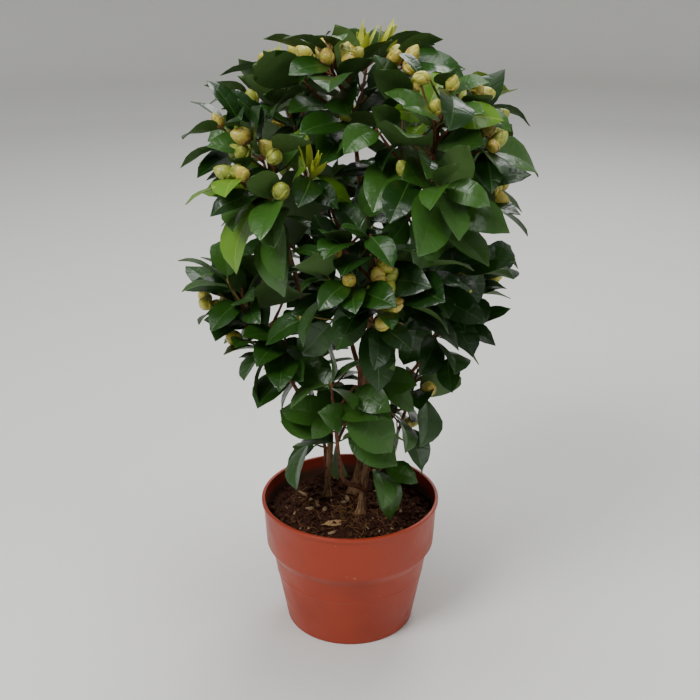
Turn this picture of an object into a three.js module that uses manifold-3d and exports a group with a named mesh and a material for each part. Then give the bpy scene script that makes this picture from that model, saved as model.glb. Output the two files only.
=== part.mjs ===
// A young camellia shrub in bud, in its round plastic nursery pot.
//
// Millimetres, +Z up. The origin is the centre of the pot's flat underside, and the front is towards -Y.
//
// Three rooted cuttings share the pot. Each stem rises from a flat cut at the soil and tapers to its tip.
// Boughs leave the stems' sides, and every bough and stem ends where it enters one mass of foliage.
// A mass is one solid: twigs that branch by a seeded rule from one shoot, with leaves and buds fused to
// them. It keeps to its own space, which is the part of the crown that lies nearer to its centre than to
// any other mass's centre. A twig or leaf that would leave that space or touch a limb is left out.

import * as THREE from 'three';
import { mergeVertices } from 'three/addons/utils/BufferGeometryUtils.js';
import Module from 'manifold-3d';

const wasm = await Module();
wasm.setup();

// Pieces that touch stand this far apart, and a little further off a leaning wall or a limb's side.
const GAP = 0.3;
const SIDE_GAP = 0.35;

// Pot
const POT_HEIGHT = 130;
const RIM_RADIUS = 85;
const FOOT_RADIUS = 62;
const FOOT_ROUND = 2.5;
const POT_WALL = 1.6;
const FLOOR_THICKNESS = 2.5;
const LIP_HEIGHT = 4;
const LIP_OVERHANG = 1.6;
const LIP_ROUND = 1.2;
const COLLAR_HEIGHT = 46;
const COLLAR_TAPER = 2.4;
const STEP_HEIGHT = 9;
const STEP_INSET = 5.5;
const POT_SIDES = 40;
const DRAIN_HOLES = 6;
const DRAIN_RADIUS = 5.5;
const DRAIN_CIRCLE = 44;
const DRAIN_SIDES = 10;

// Soil
const SOIL_TOP = 113;
const SOIL_DIP = 4;
const SOIL_LUMP = 16;
const SOIL_RINGS = 4;
const LEVEL_REACH = [22, 40];

// Stems: where each stands, the points that it passes, and its radii at the foot and the tip.
const ROOT_FLARE = 1.5;
const FLARE_HEIGHT = 14;
const STEMS = {
  main: {
    points: [[3, 33, SOIL_TOP], [12, 30, 157], [15, 24, 240], [19, 16, 330], [6, 9, 458]],
    radii: [4.6, 2.0],
    leadsTo: 'top_1',
  },
  left: {
    points: [[-23, 27, SOIL_TOP], [-19, 24, 190], [-27, 8, 270], [-43, -12, 335], [-57, -27, 403]],
    radii: [3.2, 1.8],
    leadsTo: 'upper_1',
  },
  front: {
    points: [[10, -7, SOIL_TOP], [17, -9, 175], [30, -18, 250], [46, -28, 325], [59, -36, 400]],
    radii: [3.6, 1.8],
    leadsTo: 'upper_2',
  },
};
const STEM_SIDES = 8;
const STEM_RINGS = 10;

// Boughs leave a stem's side. Their radii are at the stem and at the tip.
const BOUGH_RADII = [2.7, 1.6];
const BOUGH_SIDES = 6;
const BOUGH_RINGS = 5;
const LEAVING_SLOPE = 0.9;

// Pruned ends: the stem that each stands on, its height there, its azimuth in degrees, length and radii.
const PRUNED_ENDS = [
  { name: 'pruned_end_1', stem: 'main', height: 158, azimuth: 8, rise: 60, length: 46, radii: [3.1, 2.8] },
  { name: 'pruned_end_2', stem: 'front', height: 172, azimuth: 205, rise: 55, length: 24, radii: [2.4, 2.2] },
];

// Crown: its outline turned about a line near the pot's middle, and the rings of masses from the lowest
// up. Turn is the azimuth of a ring's first mass in degrees. Stagger is how far its masses stand below
// and above the ring's height by turns. Leaving is the height at which the ring's boughs leave their
// stems, and climb is how much higher each next bough leaves.
const CROWN_TOP = 572;
const CROWN_MIDDLE = [2, 6];
const CROWN_RADIUS = 170;
const WIDEST_HEIGHT = 400;
const SKIRT_TOP = 150;
const SKIRT_RADIUS = 74;
const CROWN_FULLNESS = 2.7;
const RINGS = [
  { name: 'low', count: 3, turn: 255, radius: 56, height: 214, stagger: 0, leaving: 140, climb: 2 },
  { name: 'middle', count: 4, turn: 188, radius: 88, height: 328, stagger: 24, leaving: 190, climb: 14 },
  { name: 'upper', count: 4, turn: 215, radius: 94, height: 426, stagger: 30, leaving: 262, climb: 16 },
  { name: 'top', count: 1, turn: 0, radius: 0, height: 523, stagger: 0 },
];
// How far each ring's leaves hang, and their width as a share of their length.
const LEAF_FORMS = {
  low: { droop: 0.6, plump: 0.62 },
  middle: { droop: 0.05, plump: 0.54 },
  upper: { droop: 0, plump: 0.52 },
  top: { droop: -0.1, plump: 0.5 },
};
// The stem that each bough leaves. The other masses are entered by a stem's own tip.
const BOUGH_STEMS = {
  low_1: 'front', low_2: 'main', low_3: 'left',
  middle_1: 'left', middle_2: 'front', middle_3: 'main', middle_4: 'main',
  upper_3: 'main', upper_4: 'main',
};
const ENTRY_DEPTH = 50;
const GROWTH_ORIGIN = 150;
const SOIL_CLEARANCE = 3;
const RIM_CLEARANCE = 12;

// Twigs: a mass's own shoot, then its side twigs, as many as its ring's masses have. Lengths and radii
// are from the first to the last.
const SEED = 170;
const SHOOT_RADII = [1.9, 1.3];
const SHOOT_LENGTH = 150;
const TWIG_RADII = [1.5, 1.1];
const TWIG_SIDES = 3;
const TWIG_STEP = 8;
const SHOOT_SEGMENTS = 3;
const TWIG_SEGMENTS = 2;
const SIDE_TWIGS = { low: 4, middle: 9, upper: 9, top: 8 };
const SIDE_TWIG_SPAN = [0.12, 0.86];
const SIDE_TWIG_LENGTHS = [82, 46];
const SIDE_TWIG_SLOPES = [1.15, 0.75];
const SHORTEST_TWIG = 16;
const TWIG_LIFT = 0.55;
const TWIG_MARGIN = 7;
const LEAFY_EDGE = 30;

// Leaves
const LEAF_SPACING = 18;
const LEAF_LENGTHS = [56, 84];
const LEAF_WIDTH_SPREAD = [0.9, 1.1];
const LEAF_THICKNESS = 1.5;
const ROOT_DEPTH = 0.8;
const LEAF_ARCH = [0.25, 0.95];
const LEAF_FOLD = 0.2;
const LEAF_SLOPES = [1.25, 0.7];
const LEAF_OUTWARDS = 0.45;
const LEAF_LEAN = 0.7;
const LEAF_MARGIN = 0.8;
const LEAF_CLEARANCE = 5;
const TWIG_CLEARANCE = 3;
const BUD_CLEARANCE = 9;
// A leaf is tested at rows of samples, the last of them just short of its tip.
const SAMPLE_ROWS = 7;
const LAST_SAMPLE = 0.999;
const STALK_ROWS = 1;
const BASE_ROWS = 2;
const LEAF_TRIES = 12;
const LEAST_LEAF = 0.62;
const BARE_SHOOT = 0.3;
const BARE_TWIG = 0.18;
const LAST_LEAF = 0.8;
const TIP_LEAVES = 3;
const TIP_SPACING = 4;
const TIP_LEAF_SIZE = 0.86;
// How early a leaf is widest, and how full its outline is.
const LEAF_OUTLINE = [0.82, 0.8];
// Each station between a leaf's two points: how far along it is, and its share of the full width.
const LEAF_STATIONS = [[0.11, 0.06], [0.38, 0.9], [0.7, 0.82]];

// Buds
const BUD_LENGTHS = [15, 20];
const BUD_WIDTH = 0.7;
const BUD_SIDES = 5;
const BUD_CHANCE = 0.62;
const MOST_BUDS = 3;
const BUD_SPREAD = 0.75;
const LONE_BUD_SLOPE = 0.15;
const BUD_DEPTH = 1;
const BUD_MARGIN = 7.5;
// Each ring of a bud: how far along it is, and its share of the full radius. A point closes it.
const BUD_RINGS = [[0, 0.5], [0.45, 1]];

const GOLDEN_ANGLE = 2.39996;
const UP = new THREE.Vector3(0, 0, 1);
const SIDEWAYS = new THREE.Vector3(1, 0, 0);

function material(color, roughness) {
  return new THREE.MeshStandardMaterial({ color, roughness, metalness: 0 });
}

function mix(from, to, share) {
  return from + (to - from) * share;
}

function smooth(low, high, value) {
  const share = Math.min(Math.max((value - low) / (high - low), 0), 1);
  return share * share * (3 - 2 * share);
}

// Numbers from 0 to 1 that come in the same order every time.
function randomFrom(seed) {
  let state = Math.imul(seed + 1, 2654435761) >>> 0;
  return () => {
    state = (Math.imul(state, 1664525) + 1013904223) >>> 0;
    return state / 4294967296;
  };
}

// A direction at right angles to an axis, turned about it by an angle.
function around(axis, angle) {
  const reference = Math.abs(axis.z) < 0.9 ? UP : SIDEWAYS;
  const first = reference.clone().cross(axis).normalize();
  const second = axis.clone().cross(first);
  return first.multiplyScalar(Math.cos(angle)).addScaledVector(second, Math.sin(angle));
}

function toSolid(geometry) {
  const bare = geometry.clone();
  bare.deleteAttribute('normal');
  bare.deleteAttribute('uv');
  const merged = mergeVertices(bare, 1e-4);
  return new wasm.Manifold(new wasm.Mesh({
    numProp: 3,
    vertProperties: new Float32Array(merged.attributes.position.array),
    triVerts: new Uint32Array(merged.index.array),
  }));
}

function toGeometry(solid) {
  const mesh = solid.getMesh();
  const geometry = new THREE.BufferGeometry();
  geometry.setAttribute('position', new THREE.BufferAttribute(mesh.vertProperties, 3));
  geometry.setIndex(new THREE.BufferAttribute(mesh.triVerts, 1));
  geometry.computeVertexNormals();
  return geometry;
}

// Joins rings of points into one closed surface. The rings turn anticlockwise as seen from the end that
// they run to. The first and last are closed with a flat fan, or are a single point.
function loft(rings) {
  const positions = [];
  const index = [];
  const starts = [];
  for (const ring of rings) {
    starts.push(positions.length / 3);
    for (const point of ring) {
      positions.push(point.x, point.y, point.z);
    }
  }
  for (let k = 0; k + 1 < rings.length; k += 1) {
    const sides = Math.max(rings[k].length, rings[k + 1].length);
    for (let i = 0; i < sides; i += 1) {
      const next = (i + 1) % sides;
      const a = starts[k] + (rings[k].length > 1 ? i : 0);
      const b = starts[k] + (rings[k].length > 1 ? next : 0);
      const c = starts[k + 1] + (rings[k + 1].length > 1 ? i : 0);
      const d = starts[k + 1] + (rings[k + 1].length > 1 ? next : 0);
      if (a !== b) {
        index.push(a, b, c);
      }
      if (c !== d) {
        index.push(b, d, c);
      }
    }
  }
  const last = rings.length - 1;
  for (let i = 1; i + 1 < rings[0].length; i += 1) {
    index.push(starts[0], starts[0] + i + 1, starts[0] + i);
  }
  for (let i = 1; i + 1 < rings[last].length; i += 1) {
    index.push(starts[last], starts[last] + i, starts[last] + i + 1);
  }
  const geometry = new THREE.BufferGeometry();
  geometry.setAttribute('position', new THREE.Float32BufferAttribute(positions, 3));
  geometry.setIndex(index);
  return geometry;
}

// The directions in which a path of points runs at each of them.
function tangentsOf(points) {
  return points.map((point, i) => {
    const before = points[Math.max(i - 1, 0)];
    const after = points[Math.min(i + 1, points.length - 1)];
    return after.clone().sub(before).normalize();
  });
}

// Round rings along a path. Where the path says so, its first and last rings face a given way.
function ringsAlong(path, sides) {
  const { points, radii, startWay, endWay } = path;
  const tangents = tangentsOf(points);
  tangents[0] = startWay ?? tangents[0];
  tangents[points.length - 1] = endWay ?? tangents[points.length - 1];
  let first = around(tangents[0], 0);
  return points.map((point, i) => {
    first = first.clone().addScaledVector(tangents[i], -first.dot(tangents[i])).normalize();
    const second = tangents[i].clone().cross(first);
    const ring = [];
    for (let k = 0; k < sides; k += 1) {
      const angle = (2 * Math.PI * k) / sides;
      ring.push(point.clone()
        .addScaledVector(first, radii[i] * Math.cos(angle))
        .addScaledVector(second, radii[i] * Math.sin(angle)));
    }
    return ring;
  });
}

// Smallest distance from a place to the surfaces of some limbs or twigs.
function distanceToLimbs(place, paths) {
  const line = new THREE.Line3();
  const nearest = new THREE.Vector3();
  let least = Infinity;
  for (const { points, radii } of paths) {
    for (let i = 0; i + 1 < points.length; i += 1) {
      line.set(points[i], points[i + 1]);
      line.closestPointToPoint(place, true, nearest);
      least = Math.min(least, nearest.distanceTo(place) - Math.max(radii[i], radii[i + 1]));
    }
  }
  return least;
}

// The pot's outside, from under the lip to the foot, moved inwards by an inset.
function potWall(inset) {
  const collarTop = RIM_RADIUS - LIP_OVERHANG;
  const collarFoot = collarTop - COLLAR_TAPER;
  const stepTop = POT_HEIGHT - COLLAR_HEIGHT;
  return [
    new THREE.Vector2(collarTop - inset, POT_HEIGHT - LIP_HEIGHT),
    new THREE.Vector2(collarFoot - inset, stepTop),
    new THREE.Vector2(collarFoot - STEP_INSET - inset, stepTop - STEP_HEIGHT),
    new THREE.Vector2(FOOT_RADIUS - inset, FOOT_ROUND),
  ];
}

// The wall's radius at a height, moved inwards by an inset.
function potRadius(height, inset) {
  const wall = potWall(inset);
  for (let i = 0; i + 1 < wall.length; i += 1) {
    if (height >= wall[i + 1].y) {
      return mix(wall[i + 1].x, wall[i].x, (height - wall[i + 1].y) / (wall[i].y - wall[i + 1].y));
    }
  }
  return wall[wall.length - 1].x;
}

function potSolid() {
  const outside = potWall(0);
  const inside = potWall(POT_WALL);
  const floorRadius = potRadius(FLOOR_THICKNESS, POT_WALL);
  const profile = [
    new THREE.Vector2(0, 0),
    new THREE.Vector2(FOOT_RADIUS - FOOT_ROUND, 0),
    ...outside.toReversed(),
    new THREE.Vector2(RIM_RADIUS, POT_HEIGHT - LIP_HEIGHT + LIP_ROUND),
    new THREE.Vector2(RIM_RADIUS, POT_HEIGHT - LIP_ROUND),
    new THREE.Vector2(RIM_RADIUS - LIP_ROUND, POT_HEIGHT),
    new THREE.Vector2(inside[0].x, POT_HEIGHT),
    ...inside.slice(1, 3),
    new THREE.Vector2(floorRadius, FLOOR_THICKNESS),
    new THREE.Vector2(0, FLOOR_THICKNESS),
  ];
  let pot = toSolid(new THREE.LatheGeometry(profile, POT_SIDES).rotateX(Math.PI / 2));
  for (let i = 0; i < DRAIN_HOLES; i += 1) {
    const azimuth = (2 * Math.PI * i) / DRAIN_HOLES;
    const hole = new THREE.CylinderGeometry(DRAIN_RADIUS, DRAIN_RADIUS, 4 * FLOOR_THICKNESS, DRAIN_SIDES);
    hole.rotateX(Math.PI / 2);
    hole.translate(DRAIN_CIRCLE * Math.cos(azimuth), DRAIN_CIRCLE * Math.sin(azimuth), 0);
    pot = pot.subtract(toSolid(hole));
  }
  return toGeometry(pot);
}

// How far the soil's surface lies below its highest level. It is level round each stem's foot.
function soilDip(x, y) {
  const fromFeet = Math.min(...Object.values(STEMS).map((stem) => (
    Math.hypot(x - stem.points[0][0], y - stem.points[0][1])
  )));
  const waves = 0.5 + 0.5 * Math.sin(x / SOIL_LUMP + 1) * Math.cos(y / SOIL_LUMP);
  return SOIL_DIP * waves * smooth(LEVEL_REACH[0], LEVEL_REACH[1], fromFeet);
}

function soilSolid() {
  const inset = POT_WALL + SIDE_GAP;
  const floor = FLOOR_THICKNESS + GAP;
  const edge = potRadius(SOIL_TOP, inset);
  const profile = [new THREE.Vector2(0, floor), new THREE.Vector2(potRadius(floor, inset), floor)];
  for (const corner of potWall(inset).slice(1, 3).reverse()) {
    profile.push(corner);
  }
  for (let i = SOIL_RINGS; i >= 0; i -= 1) {
    profile.push(new THREE.Vector2((edge * i) / SOIL_RINGS, SOIL_TOP));
  }
  const geometry = new THREE.LatheGeometry(profile, POT_SIDES).rotateX(Math.PI / 2);
  const places = geometry.attributes.position;
  for (let i = 0; i < places.count; i += 1) {
    if (places.getZ(i) > SOIL_TOP - SOIL_DIP) {
      places.setZ(i, SOIL_TOP - soilDip(places.getX(i), places.getY(i)));
    }
  }
  return toGeometry(toSolid(geometry));
}

// The masses: each one's centre, the way it grows, and the point where its limb enters it.
function crownMasses() {
  const masses = [];
  for (const ring of RINGS) {
    for (let i = 0; i < ring.count; i += 1) {
      const azimuth = THREE.MathUtils.degToRad(ring.turn + (360 * i) / ring.count);
      const height = ring.height + ring.stagger * (i % 2 ? 1 : -1);
      const centre = new THREE.Vector3(
        CROWN_MIDDLE[0] + ring.radius * Math.cos(azimuth),
        CROWN_MIDDLE[1] + ring.radius * Math.sin(azimuth),
        height,
      );
      const origin = new THREE.Vector3(CROWN_MIDDLE[0], CROWN_MIDDLE[1], height - GROWTH_ORIGIN);
      const growth = centre.clone().sub(origin).normalize();
      masses.push({
        name: `${ring.name}_${i + 1}`,
        leafForm: LEAF_FORMS[ring.name],
        sideTwigs: SIDE_TWIGS[ring.name],
        leaving: ring.leaving + ring.climb * i,
        centre,
        growth,
        entry: centre.clone().addScaledVector(growth, -ENTRY_DEPTH),
      });
    }
  }
  return masses;
}

// The crown's radius at a height: an upright oval above its widest height, a funnel below it down to the
// skirt's top, and no narrower than that below.
function crownRadius(height) {
  if (height > WIDEST_HEIGHT) {
    const rise = Math.min((height - WIDEST_HEIGHT) / (CROWN_TOP - WIDEST_HEIGHT), 1);
    return CROWN_RADIUS * (1 - rise ** CROWN_FULLNESS) ** (1 / CROWN_FULLNESS);
  }
  return mix(SKIRT_RADIUS, CROWN_RADIUS, smooth(SKIRT_TOP, WIDEST_HEIGHT, height));
}

// True if a point lies in a mass's own space, a margin from its neighbours and from the crown's outline.
function inSpace(point, mass, margin, edge = margin) {
  const fromMiddle = Math.hypot(point.x - CROWN_MIDDLE[0], point.y - CROWN_MIDDLE[1]);
  if (point.z > CROWN_TOP - edge || fromMiddle > crownRadius(point.z) - edge) {
    return false;
  }
  const fromPotAxis = Math.hypot(point.x, point.y);
  const ground = fromPotAxis > RIM_RADIUS - RIM_CLEARANCE ? POT_HEIGHT : SOIL_TOP;
  if (point.z < ground + SOIL_CLEARANCE + margin) {
    return false;
  }
  return masses.every((other) => {
    if (other === mass) {
      return true;
    }
    const away = other.centre.clone().sub(mass.centre);
    const middle = mass.centre.clone().add(other.centre).multiplyScalar(0.5);
    return point.clone().sub(middle).dot(away) / away.length() < -margin;
  });
}

// A limb's path: a smooth curve through points, with radii that taper evenly along it.
function limbPath(curve, rings, radii) {
  const points = curve.getPoints(rings - 1);
  return {
    points,
    radii: points.map((point, i) => mix(radii[0], radii[1], i / (rings - 1))),
  };
}

function stemPath(stem) {
  const places = stem.points.map((point) => new THREE.Vector3(...point));
  places[0].z += GAP;
  const path = limbPath(new THREE.CatmullRomCurve3(places), STEM_RINGS, stem.radii);
  const flared = { points: [path.points[0]], radii: [stem.radii[0] * ROOT_FLARE], startWay: UP };
  const collar = path.points[0].clone().lerp(path.points[1], FLARE_HEIGHT / (path.points[1].z - SOIL_TOP));
  flared.points.push(collar, ...path.points.slice(1));
  flared.radii.push(stem.radii[0], ...path.radii.slice(1));
  return flared;
}

// The point and direction of a path at a height.
function pathAt(path, height) {
  for (let i = 0; i + 1 < path.points.length; i += 1) {
    const [low, high] = [path.points[i], path.points[i + 1]];
    if (height <= high.z) {
      const share = (height - low.z) / (high.z - low.z);
      return { point: low.clone().lerp(high, share), direction: high.clone().sub(low).normalize() };
    }
  }
  throw new Error(`no stem at height ${height}`);
}

// A bough leaves its stem at a slope and bends into the way that its mass grows.
function boughPath(stem, mass) {
  const { point, direction } = pathAt(stem, mass.leaving);
  const across = mass.entry.clone().sub(point);
  across.addScaledVector(direction, -across.dot(direction)).normalize();
  const start = direction.multiplyScalar(Math.cos(LEAVING_SLOPE));
  start.addScaledVector(across, Math.sin(LEAVING_SLOPE));
  const third = point.distanceTo(mass.entry) / 3;
  const curve = new THREE.CubicBezierCurve3(
    point,
    point.clone().addScaledVector(start, third),
    mass.entry.clone().addScaledVector(mass.growth, -third),
    mass.entry,
  );
  return { ...limbPath(curve, BOUGH_RINGS, BOUGH_RADII), endWay: mass.growth };
}

function prunedPath(end) {
  const { point } = pathAt(stemPaths[end.stem], end.height);
  const azimuth = THREE.MathUtils.degToRad(end.azimuth);
  const rise = THREE.MathUtils.degToRad(end.rise);
  const direction = new THREE.Vector3(
    Math.cos(rise) * Math.cos(azimuth),
    Math.cos(rise) * Math.sin(azimuth),
    Math.sin(rise),
  );
  const tip = point.clone().addScaledVector(direction, end.length);
  return limbPath(new THREE.LineCurve3(point, tip), 3, end.radii);
}

function limbSolid(path, sides) {
  return toSolid(loft(ringsAlong(path, sides)));
}

// A limb that leaves a stem's side, cut clear of the stem by the gap.
function sideLimb(path, stem) {
  const fatStem = { ...stem, radii: stem.radii.map((radius) => radius + SIDE_GAP) };
  return toGeometry(limbSolid(path, BOUGH_SIDES).subtract(limbSolid(fatStem, STEM_SIDES)));
}

// The place and direction at a share of a twig's length.
function twigAt(twig, share) {
  const along = share * (twig.points.length - 1);
  const i = Math.min(Math.floor(along), twig.points.length - 2);
  const [low, high] = [twig.points[i], twig.points[i + 1]];
  return { point: low.clone().lerp(high, along - i), direction: high.clone().sub(low).normalize() };
}

// A twig's path bends upwards step by step. It ends before it leaves the mass's space or meets a limb,
// and is then drawn with a few even segments.
function growTwig(mass, limbs, start, direction, length, radii, segments) {
  const points = [start];
  const heading = direction.clone();
  for (let gone = TWIG_STEP; gone <= length; gone += TWIG_STEP) {
    heading.addScaledVector(UP, (TWIG_LIFT * TWIG_STEP) / length).normalize();
    const point = points[points.length - 1].clone().addScaledVector(heading, TWIG_STEP);
    if (!inSpace(point, mass, TWIG_MARGIN, LEAFY_EDGE) || distanceToLimbs(point, limbs) < TWIG_MARGIN) {
      break;
    }
    points.push(point);
  }
  const grown = (points.length - 1) * TWIG_STEP;
  if (grown < SHORTEST_TWIG) {
    return null;
  }
  const shares = Array.from({ length: segments + 1 }, (none, i) => i / segments);
  return {
    points: shares.map((share) => twigAt({ points }, share).point),
    radii: shares.map((share) => mix(radii[0], radii[1], share)),
    startWay: direction,
    length: grown,
  };
}

function massTwigs(mass, limbs, ownLimb, random) {
  const start = mass.entry.clone().addScaledVector(mass.growth, GAP);
  const others = limbs.filter((limb) => limb !== ownLimb);
  const shoot = growTwig(mass, others, start, mass.growth, SHOOT_LENGTH, SHOOT_RADII, SHOOT_SEGMENTS);
  const twigs = [shoot];
  for (let k = 0; k < mass.sideTwigs; k += 1) {
    const order = (k + random()) / mass.sideTwigs;
    const { point, direction } = twigAt(shoot, mix(SIDE_TWIG_SPAN[0], SIDE_TWIG_SPAN[1], order));
    const slope = mix(SIDE_TWIG_SLOPES[0], SIDE_TWIG_SLOPES[1], order);
    const length = mix(SIDE_TWIG_LENGTHS[0], SIDE_TWIG_LENGTHS[1], order) * mix(0.85, 1.15, random());
    const heading = direction.clone().multiplyScalar(Math.cos(slope));
    heading.addScaledVector(around(direction, k * GOLDEN_ANGLE + random()), Math.sin(slope));
    const twig = growTwig(mass, limbs, point, heading, length, TWIG_RADII, TWIG_SEGMENTS);
    if (twig) {
      twigs.push(twig);
    }
  }
  return twigs;
}

// A leaf's middle line is an arc that bends away from its upper face. Its halves fold up along that line.
function leafAt(leaf, along, across) {
  const turn = leaf.arch * along;
  const middle = leaf.root.clone()
    .addScaledVector(leaf.direction, (leaf.length * Math.sin(turn)) / leaf.arch)
    .addScaledVector(leaf.normal, (-leaf.length * (1 - Math.cos(turn))) / leaf.arch);
  const up = leaf.normal.clone().multiplyScalar(Math.cos(turn));
  up.addScaledVector(leaf.direction, Math.sin(turn));
  const side = leaf.normal.clone().cross(leaf.direction);
  return {
    middle,
    up,
    edge: middle.clone()
      .addScaledVector(side, across * Math.cos(LEAF_FOLD))
      .addScaledVector(up, Math.abs(across) * Math.sin(LEAF_FOLD)),
  };
}

// A leaf's half width: it widens from the stalk, is widest before its middle and runs out to a point.
function leafHalfWidth(leaf, along) {
  const [early, full] = LEAF_OUTLINE;
  return 0.5 * leaf.width * Math.sin(Math.PI * along ** early) ** full;
}

// Places all over a leaf, row by row from its stalk, by which it is tested.
function leafSamples(leaf) {
  const samples = [];
  for (let i = 1; i <= SAMPLE_ROWS; i += 1) {
    const along = Math.min(i / SAMPLE_ROWS, LAST_SAMPLE);
    for (const share of [-1, -0.5, 0, 0.5, 1]) {
      samples.push({ row: i, place: leafAt(leaf, along, share * leafHalfWidth(leaf, along)).edge });
    }
  }
  return samples;
}

function leafSolid(leaf) {
  const rings = LEAF_STATIONS.map(([along, share]) => {
    const { middle, up } = leafAt(leaf, along, 0);
    const half = 0.5 * leaf.width * share;
    return [
      leafAt(leaf, along, half).edge,
      leafAt(leaf, along, -half).edge,
      middle.addScaledVector(up, -0.5 * LEAF_THICKNESS),
    ];
  });
  const root = leaf.root.clone().addScaledVector(leaf.direction, -ROOT_DEPTH);
  return toSolid(loft([[root], ...rings, [leafAt(leaf, 1, 0).middle]]));
}

function budSolid(bud) {
  const points = [...BUD_RINGS, [1, 0]].map(([along]) => (
    bud.root.clone().addScaledVector(bud.direction, bud.length * along)
  ));
  const radii = [...BUD_RINGS, [1, 0]].map(([, share]) => 0.5 * BUD_WIDTH * bud.length * share);
  const rings = ringsAlong({ points, radii }, BUD_SIDES);
  rings[rings.length - 1] = [points[points.length - 1]];
  return toSolid(loft(rings));
}

// Buds stand at a twig's tip, alone or a few together, spread about its direction.
function tipBuds(mass, limbs, twig, random) {
  const buds = [];
  const chance = random();
  const count = 1 + Math.floor(random() * MOST_BUDS);
  const { point, direction } = twigAt(twig, 1);
  const root = point.addScaledVector(direction, -BUD_DEPTH);
  for (let k = 0; k < count; k += 1) {
    const length = mix(BUD_LENGTHS[0], BUD_LENGTHS[1], random());
    const slope = count === 1 ? LONE_BUD_SLOPE : BUD_SPREAD;
    const heading = direction.clone().multiplyScalar(Math.cos(slope));
    heading.addScaledVector(around(direction, (2 * Math.PI * k) / count + random()), Math.sin(slope));
    const middle = root.clone().addScaledVector(heading, 0.5 * length);
    const tip = root.clone().addScaledVector(heading, length);
    const clear = [middle, tip].every((place) => (
      inSpace(place, mass, BUD_MARGIN) && distanceToLimbs(place, limbs) > BUD_MARGIN
    ));
    if (chance < BUD_CHANCE && clear) {
      buds.push({ root, direction: heading, length, middle });
    }
  }
  return buds;
}

// True if a leaf keeps to its mass's space and clear of the limbs, twigs, buds and leaves there. Its
// stalk may pass close to leaves and buds, and its base to twigs.
function leafFits(leaf, mass, limbs, twigs, buds, taken) {
  return leafSamples(leaf).every(({ row, place }) => {
    if (!inSpace(place, mass, LEAF_MARGIN) || distanceToLimbs(place, limbs) < LEAF_CLEARANCE) {
      return false;
    }
    if (row > BASE_ROWS && distanceToLimbs(place, twigs) < TWIG_CLEARANCE) {
      return false;
    }
    if (row <= STALK_ROWS) {
      return true;
    }
    return buds.every((bud) => bud.middle.distanceTo(place) > BUD_CLEARANCE)
      && taken.every((other) => other.distanceTo(place) > LEAF_CLEARANCE);
  });
}

// The first of a few turns about the twig, each a little smaller, in which a leaf fits, or none.
function placeLeaf(mass, limbs, twigs, buds, taken, node, random) {
  const outwards = new THREE.Vector3(
    node.point.x - CROWN_MIDDLE[0],
    node.point.y - CROWN_MIDDLE[1],
    0,
  ).normalize();
  const fullLength = mix(LEAF_LENGTHS[0], LEAF_LENGTHS[1], random()) * node.size;
  const plump = mass.leafForm.plump * mix(LEAF_WIDTH_SPREAD[0], LEAF_WIDTH_SPREAD[1], random());
  const arch = mix(LEAF_ARCH[0], LEAF_ARCH[1], random());
  const lean = [mix(-LEAF_LEAN, LEAF_LEAN, random()), mix(-LEAF_LEAN, LEAF_LEAN, random())];
  for (let attempt = 0; attempt < LEAF_TRIES; attempt += 1) {
    const azimuth = node.azimuth + attempt * GOLDEN_ANGLE;
    const direction = node.direction.clone().multiplyScalar(Math.cos(node.slope))
      .addScaledVector(around(node.direction, azimuth), Math.sin(node.slope))
      .addScaledVector(outwards, LEAF_OUTWARDS)
      .addScaledVector(UP, -mass.leafForm.droop)
      .normalize();
    const normal = new THREE.Vector3(lean[0], lean[1], 1).addScaledVector(outwards, LEAF_OUTWARDS);
    normal.addScaledVector(direction, -normal.dot(direction)).normalize();
    const length = fullLength * mix(1, LEAST_LEAF, attempt / LEAF_TRIES);
    const leaf = { root: node.point, direction, normal, length, width: length * plump, arch };
    if (leafFits(leaf, mass, limbs, twigs, buds, taken)) {
      return leaf;
    }
  }
  return null;
}

// The nodes along a twig that may carry a leaf, and the few close together at its tip.
function leafNodes(twig, isShoot, random) {
  const nodes = [];
  const bare = isShoot ? BARE_SHOOT : BARE_TWIG;
  const count = Math.floor((twig.length * (1 - bare)) / LEAF_SPACING);
  const first = random() * 2 * Math.PI;
  for (let i = 0; i < count; i += 1) {
    const share = mix(bare, LAST_LEAF, (i + 0.5) / count);
    const slope = mix(LEAF_SLOPES[0], LEAF_SLOPES[1], share);
    nodes.push({ ...twigAt(twig, share), azimuth: first + i * GOLDEN_ANGLE, slope, size: 1 });
  }
  for (let i = 0; i < TIP_LEAVES; i += 1) {
    const azimuth = first + (count + i) * GOLDEN_ANGLE;
    const share = 1 - ((i + 0.5) * TIP_SPACING) / twig.length;
    nodes.push({ ...twigAt(twig, share), azimuth, slope: LEAF_SLOPES[1], size: TIP_LEAF_SIZE });
  }
  return nodes;
}

function growMass(mass, index, limbs, ownLimb) {
  const random = randomFrom(SEED + index);
  const twigs = massTwigs(mass, limbs, ownLimb, random);
  const buds = twigs.flatMap((twig) => tipBuds(mass, limbs, twig, random));
  const leaves = [];
  const taken = [];
  for (const twig of twigs) {
    for (const node of leafNodes(twig, twig === twigs[0], random)) {
      const leaf = placeLeaf(mass, limbs, twigs, buds, taken, node, random);
      if (leaf) {
        leaves.push(leaf);
        taken.push(...leafSamples(leaf).filter(({ row }) => row > STALK_ROWS).map(({ place }) => place));
      }
    }
  }
  return { twigs, buds, leaves };
}

// Fuses a mass's pieces and keeps the one body, without loose scraps or sealed hollows.
function massSolid(grown) {
  const pieces = [
    ...grown.twigs.map((twig) => toSolid(loft(ringsAlong(twig, TWIG_SIDES)))),
    ...grown.buds.map(budSolid),
    ...grown.leaves.map(leafSolid),
  ];
  const fused = pieces.reduce((sum, piece) => sum.add(piece));
  const bodies = fused.decompose();
  bodies.sort((a, b) => b.volume() - a.volume());
  return bodies[0];
}

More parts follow.
